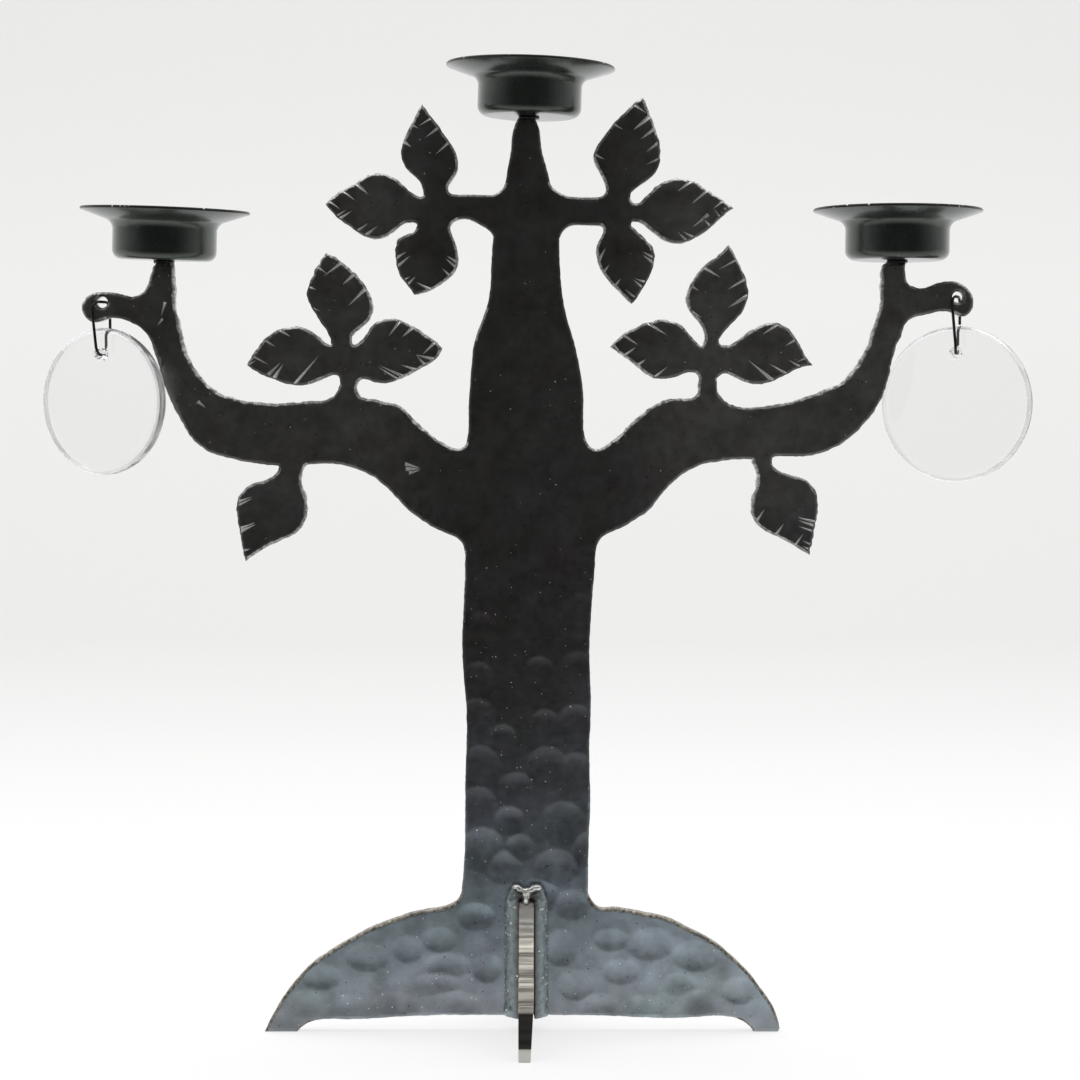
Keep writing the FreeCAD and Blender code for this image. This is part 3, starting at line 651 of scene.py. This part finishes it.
# %% Where the chisel cut
leaf_cuts = {
    "top left, up": [
        (434, 116, 420, 125), (439, 127, 427, 136), (449, 142, 437, 153), (411, 124, 418, 128),
        (403, 141, 413, 148)],
    "top left, out": [
        (357, 184, 375, 200), (342, 190, 355, 200), (328, 200, 340, 209), (338, 215, 346, 210),
        (342, 217, 351, 211), (357, 231, 367, 224), (365, 236, 376, 227)],
    "top left, down": [
        (397, 257, 406, 252), (400, 264, 411, 255), (404, 280, 411, 276), (407, 285, 416, 276),
        (457, 262, 447, 256), (456, 267, 445, 258), (450, 276, 440, 266), (429, 289, 416, 282)],
    "top right, up": [
        (634, 104, 645, 112), (614, 124, 626, 131), (594, 154, 604, 159), (649, 117, 626, 136),
        (654, 129, 634, 144), (658, 143, 643, 154), (660, 158, 645, 165)],
    "top right, out": [
        (691, 181, 678, 191), (709, 189, 690, 205), (725, 199, 714, 208), (705, 217, 694, 226),
        (730, 217, 720, 211), (723, 221, 715, 210), (711, 227, 704, 219), (693, 237, 684, 232),
        (687, 241, 679, 233)],
    "top right, down": [
        (653, 257, 641, 251), (654, 263, 640, 253), (645, 282, 634, 278), (643, 288, 633, 279),
        (636, 298, 626, 290), (600, 258, 605, 249), (604, 272, 609, 265), (615, 286, 621, 278)],
    "middle left, up": [
        (317, 266, 326, 273), (308, 286, 319, 291), (309, 306, 324, 313), (338, 265, 325, 275),
        (353, 275, 341, 286), (364, 290, 347, 307)],
    "middle left, out": [
        (280, 330, 294, 339), (263, 339, 279, 349), (251, 355, 267, 364), (246, 366, 255, 361),
        (271, 372, 280, 363), (276, 375, 283, 364), (293, 386, 315, 360)],
    "middle left, in": [
        (399, 322, 388, 337), (411, 329, 401, 338), (434, 343, 423, 354), (433, 359, 417, 355),
        (425, 365, 417, 356), (416, 370, 402, 365), (404, 377, 381, 366), (399, 380, 380, 368)],
    "middle right, up": [
        (736, 260, 721, 268), (745, 279, 722, 293), (747, 296, 724, 310), (705, 268, 720, 277),
        (689, 284, 702, 293), (687, 309, 701, 317)],
    "middle right, in": [
        (651, 325, 667, 335), (622, 334, 640, 346), (613, 345, 621, 353), (625, 355, 636, 347),
        (635, 367, 649, 357), (655, 377, 667, 367)],
    "middle right, out": [
        (776, 325, 762, 335), (795, 340, 785, 346), (808, 357, 797, 362), (802, 368, 789, 360),
        (785, 373, 770, 364), (771, 379, 752, 363)],
    "low left": [
        (237, 502, 251, 497), (237, 506, 251, 499), (239, 529, 254, 523), (240, 532, 254, 525),
        (243, 551, 250, 549)],
    "low right": [
        (816, 522, 796, 517), (815, 526, 797, 520), (815, 532, 798, 526), (812, 545, 803, 541),
        (810, 550, 803, 546), (756, 522, 764, 510), (776, 535, 787, 519), (795, 546, 803, 534)],
    "worn scuffs": [
        (409, 465, 420, 468), (410, 469, 420, 469), (413, 472, 421, 470), (201, 404, 206, 408),
        (164, 306, 161, 316), (160, 322, 157, 326)],
}
print("chisel cuts:", sum(len(cuts) for cuts in leaf_cuts.values()))

# %% [markdown]
# The chisel was held slanting, so each cut is a V that is widest and deepest where it leaves
# the edge. A four-sided cone laid on its side has that shape, and a Boolean takes all of
# them out of the plate at once. The cut faces keep the cones' bright finish.

# %% Chisel cuts
cut_half_width = 0.8 * mm
cut_depth = 0.7 * mm
cut_overrun = 1.6 * mm
cut_tail_share = 0.3


def chisel_cones():
    """All the chisel cuts as cones that lie on the front face, apex inwards."""
    cones = bmesh.new()
    for cuts in leaf_cuts.values():
        for outer_px, outer_row, inner_px, inner_row in cuts:
            outer = on_front(outer_px, outer_row)
            inner = on_front(inner_px, inner_row)
            along = (inner - outer).normalized()
            inner = inner + (inner - outer) * cut_tail_share
            outer = outer - along * cut_overrun
            across = along.cross(Vector((0, 1, 0)))
            made = bmesh.ops.create_cone(cones, cap_ends=True, segments=4, radius1=1.0,
                                         radius2=0.0, depth=(inner - outer).length)
            place = Matrix((across, Vector((0, 1, 0)), along)).transposed().to_4x4()
            place.translation = (outer + inner) / 2
            sizes = Matrix.Diagonal((cut_half_width * chance.uniform(0.8, 1.3),
                                     cut_depth * chance.uniform(0.8, 1.15), 1.0, 1.0))
            bmesh.ops.transform(cones, matrix=place @ sizes, verts=made["verts"])
    bmesh.ops.recalc_face_normals(cones, faces=cones.faces)
    for face in cones.faces:
        face.material_index = on_cut
    return as_object(cones, "chisel_cones")


def cut_away(piece, cutter):
    """Takes the cutter out of the piece and throws the cutter away."""
    tool = piece.modifiers.new("cut", "BOOLEAN")
    tool.operation = "DIFFERENCE"
    tool.solver = "MANIFOLD"
    tool.object = cutter
    bpy.context.view_layer.update()
    done = piece.evaluated_get(bpy.context.evaluated_depsgraph_get())
    mesh = bpy.data.meshes.new_from_object(done)
    piece.modifiers.clear()
    piece.data = mesh
    bpy.data.objects.remove(cutter)


print("a cut's depth:", round(cut_depth / mm, 1), "mm")

# %% [markdown]
# The plate itself starts as the fixed plate's front face alone. Its outline gets a point
# every millimetre or less and round inner corners, where the torch swung from one leaf to
# the next. Smoothing only the points near a notch rounds it and leaves the rest alone.

# %% The plate's outline
outline_step = 1.1 * mm
smallest_step = 0.45 * mm
notch_angle = math.radians(32)
notch_reach = 2.6 * mm
notch_rounds = 12
notch_probe = 0.3 * mm
halvings = 6
eye_zone = 7.0 * mm
joints = frame["record"]["behaviour"]["joints"]
eyes = [Vector(joint["pos_m"]) for joint in joints if "ring" in joint["name"]]


def turn_at(point):
    """How sharply a flat face's outline turns at a point."""
    ways = [e.other_vert(point).co - point.co for e in point.link_edges if e.is_boundary]
    return math.pi - ways[0].angle(ways[1])


def at_eye(place):
    """True close to the eyes that the links hang in, which stay round."""
    return any((Vector((place.x, 0, place.z)) - eye).length < eye_zone for eye in eyes)


def is_notch(point):
    """True where the outline turns sharply into the metal."""
    ways = [e.other_vert(point).co - point.co for e in point.link_edges if e.is_boundary]
    inward = point.co + (ways[0].normalized() + ways[1].normalized()).normalized() * notch_probe
    face = point.link_faces[0]
    return turn_at(point) > notch_angle and not bmesh.geometry.intersect_face_point(face, inward)


def outline_of(node):
    """The fixed plate's front face, with an even outline and round inner corners."""
    shape = bmesh.new()
    shape.from_mesh(frame["nodes"][node].data)
    bmesh.ops.remove_doubles(shape, verts=shape.verts, dist=merge_gap)
    rest = [f for f in shape.faces if f.normal.y > -0.99]
    bmesh.ops.delete(shape, geom=rest, context="FACES")
    bmesh.ops.dissolve_limit(shape, angle_limit=flat_angle, verts=shape.verts, edges=shape.edges)
    bmesh.ops.remove_doubles(shape, verts=shape.verts, dist=smallest_step)
    for _ in range(halvings):
        long = [e for e in shape.edges if e.is_boundary and e.calc_length() > outline_step]
        bmesh.ops.subdivide_edges(shape, edges=long, cuts=1)
    notches = [v.co.copy() for v in shape.verts if v.is_boundary and is_notch(v)]
    near = [v for v in shape.verts if any((v.co - n).length < notch_reach for n in notches)]
    near = [v for v in near if not at_eye(v.co)]
    for _ in range(notch_rounds):
        bmesh.ops.smooth_vert(shape, verts=near, factor=0.5, use_axis_x=True, use_axis_z=True)
    print("outline points:", len(shape.verts), "notches:", len(notches))
    return shape


print("eyes that stay round:", len(eyes))

# %% [markdown]
# Then the outline is drawn back to the plate's thickness and its edges are eased, because a
# hammered edge is never square. Slices, dents and a fine unevenness of the cut follow. The
# slices are finest where the marks are, and coarse at the back, which saves time. Vector
# noise takes its start from the clock unless it has a seed, so it gets one here.

# %% Tree plate
edge_ease = 0.95 * mm
plain_cell = 1.4 * mm
marked_cell = 0.7 * mm
marked_top = 165 * mm
back_cell = 2.4 * mm
wall_cell = 1.5 * mm
trunk_wobble = 0.15 * mm
leaf_wobble = 0.48 * mm
lower_wobble = 0.26 * mm
fine_tear = 1.9 * mm
broad_tear = 6 * mm
tear_seed = 7
noise.seed_set(tear_seed)
face_wave = 0.08 * mm
wave_length = 11 * mm
wall_tilt = 0.1
face_tilt = 0.99


def pressed(point, marks):
    """A point of a face after the hammer."""
    depth = dent(point.x, point.z, marks) + face_wave * (1 + noise.noise(point / wave_length))
    return Vector((point.x, point.y * (1 - depth / plate_half), point.z))


def torn(point, out):
    """A point of the cut edge after the torch, uneven all round and lined through the plate."""
    through = Vector((point.x, point.y * 0.3, point.z))
    tear = noise.noise_vector(through / fine_tear) + noise.noise_vector(through / broad_tear)
    wobble = trunk_wobble
    if abs(point.x) > trunk_side and point.z > trunk_top:
        wobble = leaf_wobble if out.z > -0.2 else lower_wobble
    if at_eye(point):
        wobble = 0.0
    return Vector((point.x + tear.x * wobble, point.y, max(point.z + tear.z * wobble, 0.0)))


def is_wall_or_painted_highlight(face):
    """True for the cut walls, and for eased edges that face up or towards the trunk, which take
    the pale edge finish as painted highlight.
    """
    inwards = -math.copysign(face.normal.x, face.calc_center_median().x * face.normal.x)
    tilt = abs(face.normal.y)
    return tilt < wall_tilt or tilt < face_tilt and max(inwards, face.normal.z) > 0.2


def tree():
    """Draws the outline back to a plate, eases, slices and hammers it, and cuts the veins."""
    shape = outline_of("tree_plate")
    drawn = bmesh.ops.extrude_face_region(shape, geom=shape.faces[:], use_keep_orig=True)
    ends = [g for g in drawn["geom"] if isinstance(g, bmesh.types.BMVert)]
    bmesh.ops.translate(shape, verts=ends, vec=(0, 2 * plate_half, 0))
    bmesh.ops.recalc_face_normals(shape, faces=shape.faces)
    rims = [e for e in shape.edges if e.calc_face_angle() > 1
            and abs(e.verts[0].co.y - e.verts[1].co.y) < merge_gap]
    bevelled(shape, rims, edge_ease, 1, clamp=False)
    shape.normal_update()
    for face in shape.faces:
        # The cut walls take the edge finish as their own; eased edges that face up or inwards take
        # it as painted highlight.
        face.material_index = on_edge if is_wall_or_painted_highlight(face) else on_face
    walls = [f for f in shape.faces if abs(f.normal.y) < wall_tilt]
    slice_up(shape, walls, (None, wall_cell, None))
    back = [f for f in shape.faces if f.normal.y > face_tilt]
    slice_up(shape, back, (back_cell, None, back_cell))
    front = [f for f in shape.faces if f.normal.y < -face_tilt]
    edges = list({e for f in front for e in f.edges})
    cut = bmesh.ops.bisect_plane(shape, geom=edges + front, dist=merge_gap / 10,
                                 plane_co=(0, 0, marked_top), plane_no=(0, 0, 1))
    front = [g for g in cut["geom"] if isinstance(g, bmesh.types.BMFace)]
    marked = [f for f in front if f.calc_center_median().z < marked_top]
    plain = [f for f in front if f.calc_center_median().z > marked_top]
    slice_up(shape, plain, (plain_cell, None, plain_cell))
    slice_up(shape, marked, (marked_cell, None, marked_cell))
    rim = {v for f in shape.faces if abs(f.normal.y) < 0.98 for v in f.verts}
    shape.normal_update()
    for point in shape.verts:
        if point.co.z > merge_gap:
            point.co = pressed(point.co, front_marks if point.co.y < 0 else back_marks)
            if point in rim:
                point.co = torn(point.co, point.normal)
    piece = finished(shape, "hammered_tree", (plate_finish, edge_finish, chisel_finish), "tree",
                     "tree_plate")
    cut_away(piece, chisel_cones())
    piece.data.set_sharp_from_angle(angle=plate_crease)
    print("after the chisel:", len(piece.data.polygons), "faces")


tree()

# %% [markdown]
# The feet are cut from the same plate. Seen from the front, their flame-cut edge faces the
# camera, so its drag lines are made as real ridges across it.

# %% Feet
ridge = 0.3 * mm
ridge_spacing = 2.4 * mm
ridges_from = 0.5 * mm
toe_height = 1 * mm
toe_taper = 0.2
taper_top = 22 * mm
foot_ease = 0.35 * mm
foot_cell = 0.9 * mm


def drag_ridges(point):
    """Moves a point of a foot's cut edge by its ridge, the same right across the edge."""
    if point.z > toe_height and abs(point.y) > plate_half + ridges_from:
        line = noise.noise(Vector((0, point.y, point.z)) / ridge_spacing)
        return point + Vector((0, math.copysign(0.6, point.y), 0.8)) * ridge * line
    return point


for node in ("front_foot", "rear_foot"):
    low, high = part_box(node)
    shape = copy_of(node)
    sharp = [e for e in shape.edges if e.calc_face_angle() > 1]
    for face in shape.faces:
        face.material_index = on_face if abs(face.normal.x) > 0.5 else on_edge
    bevelled(shape, sharp, foot_ease, 2, material=on_edge)
    slice_up(shape, shape.faces[:], (None, foot_cell, foot_cell))
    for point in shape.verts:
        point.co = drag_ridges(point.co)
        down = max(0.0, 1 - point.co.z / taper_top)
        point.co.x -= (point.co.x - low.x) * toe_taper * down
    finished(shape, "cut_" + node, (plate_finish, foot_edge_finish), "tree", node)

# %% [markdown]
# A weld bead is laid down in small pools that melt together. So each bead is a copy of its
# plain fillet with round lumps at its ends, all melted into one skin by a voxel remesh. Each
# lump is listed in millimetres, by its reach from the foot's middle, its height and its
# radius. At the top both beads run up over the foot, where one bright tack ties them.

# %% Welds
melt_cell = 0.45 * mm
bead_stand = 0.9 * mm
tack_stand = 1.7 * mm
bead_tops = [(5.6, 54.2, 3.0), (5.0, 57.0, 2.5), (3.9, 58.8, 2.0), (2.2, 56.4, 2.3)]
bead_toes = {"left": [(5.9, 9.6, 3.6), (5.3, 12.4, 2.8)], "right": [(5.2, 8.9, 2.6)]}
tack_lumps = [
    ((-4.3, 59.6), (2.0, 1.7, 1.1)), ((-2.6, 58.6), (1.7, 1.8, 1.2)),
    ((3.9, 59.3), (2.6, 1.9, 1.5)), ((1.8, 58.3), (1.8, 2.0, 1.3)),
    ((-0.4, 56.8), (1.2, 2.2, 2.6)), ((-0.2, 54.6), (0.9, 2.0, 1.8)),
    ((0.0, 56.6), (3.4, 1.3, 1.9)), ((-0.3, 53.6), (1.7, 3.4, 1.5)),
]


def lump(shape, middle, sizes):
    """One round pool of metal."""
    place = Matrix.Translation(Vector(middle)) @ Matrix.Diagonal((*sizes, 1.0))
    bmesh.ops.create_uvsphere(shape, u_segments=20, v_segments=12, radius=1.0, matrix=place)


def melted(shape, rounds):
    """Melts a shape's overlapping lumps into one smooth skin."""
    lumps = as_object(shape, "lumps")
    melt = lumps.modifiers.new("melt", "REMESH")
    melt.mode = "VOXEL"
    melt.voxel_size = melt_cell
    bpy.context.view_layer.update()
    whole = bmesh.new()
    whole.from_object(lumps, bpy.context.evaluated_depsgraph_get())
    bpy.data.objects.remove(lumps)
    for _ in range(rounds):
        bmesh.ops.smooth_vert(whole, verts=whole.verts, factor=0.5,
                              use_axis_x=True, use_axis_y=True, use_axis_z=True)
    return whole


def roughened(shape, size_mm, height_mm):
    """Pushes each point out or in by noise."""
    shape.normal_update()
    for point in shape.verts:
        point.co += point.normal * height_mm * mm * noise.noise(point.co / (size_mm * mm))


for side, depth in (("front", -1), ("rear", 1)):
    for hand, out in (("left", -1), ("right", 1)):
        node = side + "_weld_" + hand
        shape = copy_of(node)
        for reach, up, radius in bead_tops + bead_toes[hand]:
            middle = (foot_axis + out * reach * mm, depth * (plate_half + bead_stand), up * mm)
            lump(shape, middle, [radius * mm] * 3)
        shape = melted(shape, 4)
        roughened(shape, 2.6, 0.14)
        finished(shape, "bead_" + node, (weld_finish,), "tree", node, round_crease)
    node = side + "_weld_tack"
    shape = bmesh.new()
    for (reach, up), sizes in tack_lumps:
        middle = (foot_axis + reach * mm, depth * (plate_half + tack_stand), up * mm)
        lump(shape, middle, [size * mm for size in sizes])
    shape = melted(shape, 2)
    roughened(shape, 1.2, 0.15)
    finished(shape, "tack_" + node, (tack_finish,), "tree", node, round_crease)

# %% [markdown]
# A cup is pressed from round sheet: a flat bottom, a small corner, a straight wall and a wide
# flange that turns out with a soft bend. Its outline is four points, whose corners are
# rounded before the line is spun round the axis and given the sheet's thickness. Each cup
# sits as its bore in the record says, leaning a little because it was welded by eye.

# %% Cups
cup_sheet = 1.2 * mm
cup_corner = 3.8 * mm
cup_flare = 4.0 * mm
cup_rim_radius = 33.7 * mm
cup_height = 20.4 * mm
flange_rise = math.radians(19)
spin_steps = 96
bores = {m["name"]: m for m in frame["record"]["mounts"] if m["kind"] == "bore"}


def pressed_cup():
    """A cup upright on its own axis, with its bottom at the origin."""
    bore = bores["centre_cup_bore"]["dims"]
    wall = bore["r_mm"] * mm + cup_sheet
    rim_z = cup_height - cup_sheet * math.cos(flange_rise)
    bend_z = rim_z - (cup_rim_radius - wall) * math.tan(flange_rise)
    shape = bmesh.new()
    corners = ((0, 0), (wall, 0), (wall, bend_z), (cup_rim_radius, rim_z))
    line = line_through(shape, [(x, 0, z) for x, z in corners])
    flare_cut = cup_flare * math.tan((math.pi / 2 - flange_rise) / 2)
    for corner, cut in ((line[1], cup_corner), (line[2], flare_cut)):
        bevelled(shape, [corner], cut, 8, "VERTICES")
    bmesh.ops.spin(shape, geom=shape.verts[:] + shape.edges[:], cent=(0, 0, 0), axis=(0, 0, 1),
                   angle=2 * math.pi, steps=spin_steps, use_merge=True)
    bmesh.ops.remove_doubles(shape, verts=shape.verts, dist=merge_gap)
    bmesh.ops.recalc_face_normals(shape, faces=shape.faces)
    return shape


for name in ("left", "centre", "right"):
    shape = pressed_cup()
    bore = bores[name + "_cup_bore"]
    axis = Vector(bore["axis"])
    bottom = Vector(bore["pos_m"]) - axis * (cup_corner + bore["dims"]["length_mm"] * mm / 2)
    place = Matrix.Translation(bottom) @ axis.to_track_quat("Z", "Y").to_matrix().to_4x4()
    bmesh.ops.transform(shape, matrix=place, verts=shape.verts)
    cup = finished(shape, "pressed_" + name + "_cup", (cup_finish, lip_finish), "tree",
                   name + "_cup", round_crease)
    wall = cup.modifiers.new("sheet", "SOLIDIFY")
    wall.thickness = cup_sheet
    wall.offset = 1
    wall.use_even_offset = True
    wall.material_offset_rim = on_edge
    lip = cup.modifiers.new("lip", "BEVEL")
    lip.width = 0.3 * mm
    lip.segments = 2
    lip.limit_method = "ANGLE"
    lip.angle_limit = math.radians(50)
    node = name + "_cup_weld"
    shape = melted(copy_of(node), 2)
    roughened(shape, 1.6, 0.25)
    finished(shape, "collar_" + node, (wire_finish,), "tree", node, round_crease)

# %% [markdown]
# The discs are poured glass with fire-polished rims. Their faces are never quite flat, which
# is what makes the background swim a little behind them. The links are bent wire, drawn a
# little to one side in front, and as much as they lean there they are back at both bends.

# %% Discs and links
disc_yaw = math.radians(-27)
disc_normal = Vector((-math.sin(disc_yaw), math.cos(disc_yaw), 0))
glass_swell = 0.08 * mm
swell_length = 16 * mm
glass_cell = 2.5 * mm
rim_zone = 1.2 * mm
rim_depth = 2.9 * mm
rim_cuts = 9
link_bow = {"left": -1.0 * mm, "right": 0.0}
link_lean = -1.2 * mm
link_front = 2 * mm


def round_rim(shape, centre, radius):
    """Draws a disc's flat rim out to half a round, and gives it the points for that."""
    places = [(v.co - centre).dot(disc_normal) for v in shape.verts]
    half = max(places)
    across = [e for e in shape.edges
              if abs((e.verts[1].co - e.verts[0].co).dot(disc_normal)) > half
              and all((v.co - centre).length > radius - rim_zone for v in e.verts)]
    bmesh.ops.subdivide_edges(shape, edges=across, cuts=rim_cuts, use_grid_fill=True)
    for point in shape.verts:
        height = (point.co - centre).dot(disc_normal)
        out = point.co - centre - disc_normal * height
        if out.length > radius - rim_zone:
            drop = rim_depth * (1 - math.sqrt(max(0.0, 1 - (height / half) ** 2)))
            point.co = centre + out.normalized() * (radius - drop) + disc_normal * height


for name in ("left", "right"):
    node = name + "_disc"
    low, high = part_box(node)
    shape = copy_of(node)
    centre, radius = (low + high) / 2, (high.z - low.z) / 2
    round_rim(shape, centre, radius)
    shape.normal_update()
    for face in shape.faces:
        outside = (face.calc_center_median() - centre).length > radius - rim_depth
        turned = abs(face.normal.dot(disc_normal)) < 0.8
        face.material_index = on_edge if outside and turned else on_face
    slice_up(shape, shape.faces[:], (glass_cell, None, glass_cell))
    for point in shape.verts:
        swell = noise.noise(Vector((point.co.x, 0, point.co.z)) / swell_length)
        point.co += disc_normal * glass_swell * swell
    finished(shape, "glass_" + node, (glass_finish, painted_glow_rim_finish), name + "_pendant",
             node)
    node = name + "_ring"
    low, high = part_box(node)
    shape = copy_of(node)
    for point in shape.verts:
        along = 2 * (point.co.z - low.z) / (high.z - low.z) - 1
        forward = min(1.0, max(0.0, -point.co.y / link_front))
        point.co.x += (link_bow[name] + link_lean * along) * (1 - along ** 6) * forward
    finished(shape, "wire_" + node, (wire_finish,), name + "_link", node, round_crease)

# %% [markdown]
# The studio is a sheet of white paper that runs back and up. It ends a little way in front
# of the candelabra, and beyond it the room is dark. So the plate mirrors white paper low
# down and the dark room higher up, and each hammer mark shows by what its slope mirrors.

# %% Paper floor and backdrop
paper_front = -0.42
paper_back = 1.5
paper_top = 2.6
paper_bend = 0.9
paper_width = 5
paper_below = 0.05 * mm
glow_share = 0.7
seen_glow = 1.03
mirror_far = 0.1
mirror_near = 1.15


def sweep():
    """A floor that turns up into a wall behind the object."""
    shape = bmesh.new()
    corners = ((paper_front, 0), (paper_back, 0), (paper_back, paper_top))
    line = line_through(shape, [(-paper_width / 2, y, z - paper_below) for y, z in corners])
    bevelled(shape, [line[1]], paper_bend, 16, "VERTICES")
    grown = bmesh.ops.extrude_edge_only(shape, edges=shape.edges[:])
    moved = [v for v in grown["geom"] if isinstance(v, bmesh.types.BMVert)]
    bmesh.ops.translate(shape, verts=moved, vec=(paper_width, 0, 0))
    bmesh.ops.recalc_face_normals(shape, faces=shape.faces)
    return as_object(shape, "paper_sweep")


def paper():
    """White paper. Rays straight from the camera, or through glass, or mirrored by steel see it
    partly as a plain glow, so that its shadows stay light and its far end fades away."""
    finish, add, place = new_finish("white paper sweep")
    along = add("SeparateXYZ", place).node.outputs
    wall = add("ValToRGB", add("MapRange", along["Z"], 0.0, 600 * mm), stops=(
        (0.0, "#f8f8f8"), (0.04, "#f0f0f0"), (0.12, "#e6e6e5"), (0.6, "#f0f1ef"), (1.0, "#ebebea")))
    far = add("MapRange", along["Y"], 200 * mm, 600 * mm)
    seen = add("Emission", add("Mix", far, linear("#ffffff"), wall), seen_glow)
    fade = add("MapRange", along["Y"], paper_front, 0.0, mirror_far, mirror_near)
    mirrored = add("Emission", inputs={"Strength": fade})
    rays = add("LightPath").node.outputs
    straight = add("Math", rays["Is Camera Ray"], rays["Is Transmission Ray"], operation="MAXIMUM")
    share = add("Math", straight, glow_share, operation="MULTIPLY")
    plain = add("MixShader", share, add("BsdfDiffuse", linear("#ececeb")), seen)
    glossy = add("Math", rays["Is Glossy Ray"], straight, operation="GREATER_THAN")
    add("OutputMaterial", add("MixShader", glossy, plain, mirrored))
    finish.cycles.emission_sampling = "NONE"
    return finish


floor = sweep()
floor.data.shade_smooth()
floor.data.materials.append(paper())
print("paper:", len(floor.data.polygons), "faces")

# %% [markdown]
# A wide soft lamp over the table gives the pale shadows, and one behind lights the paper's
# wall. Both are broad, because small lamps would leave hard glints on the hammer marks.

# %% Lamps


def soft_lamp(name, place, aim, width, height, watts):
    """A rectangular lamp that faces a point."""
    light = bpy.data.lights.new(name, "AREA")
    light.shape = "RECTANGLE"
    light.size = width
    light.size_y = height
    light.energy = watts
    lamp = bpy.data.objects.new(name, light)
    lamp.location = place
    lamp.rotation_euler = (Vector(aim) - Vector(place)).to_track_quat("-Z", "Y").to_euler()
    bpy.context.scene.collection.objects.link(lamp)


soft_lamp("top_lamp", place=(0.0, 0.15, 1.6), aim=(0, 0.1, 0), width=2.4, height=1.4, watts=21)
soft_lamp("back_lamp", place=(0.0, 0.2, 1.9), aim=(0, 1.5, 0.7), width=3.0, height=0.6, watts=8)
print("lamps:", len(bpy.data.lights))

# %% [markdown]
# The room is what polished steel mirrors. It is dark on the photographer's side, pale behind
# the paper and a little lighter overhead. A ray that comes straight from the camera, or
# through glass, sees an even pale grey in its place.

# %% The room
room_dark, room_light = 0.075, 0.95
overhead_light = 0.13
room_seen = 0.85
world = bpy.data.worlds.new("studio")
bpy.context.scene.world = world
world.use_nodes = True
world.node_tree.nodes.clear()
add = partial(add_node, world.node_tree)
heading = add("SeparateXYZ", add("TexCoord")).node.outputs
behind = add("MapRange", heading["Y"], -0.8, 0.45, room_dark, room_light)
overhead = add("MapRange", heading["Z"], 0.0, 0.3, 0.0, overhead_light)
mirrored = add("Math", behind, overhead, operation="ADD")
rays = add("LightPath").node.outputs
straight = add("Math", rays["Is Camera Ray"], rays["Is Transmission Ray"], operation="MAXIMUM")
level = add("Mix", inputs={0: straight, 2: mirrored, 3: room_seen}, data_type="FLOAT")
add("OutputWorld", add("Background", linear("#ffffff"), level))
print("world:", len(world.node_tree.nodes), "nodes")
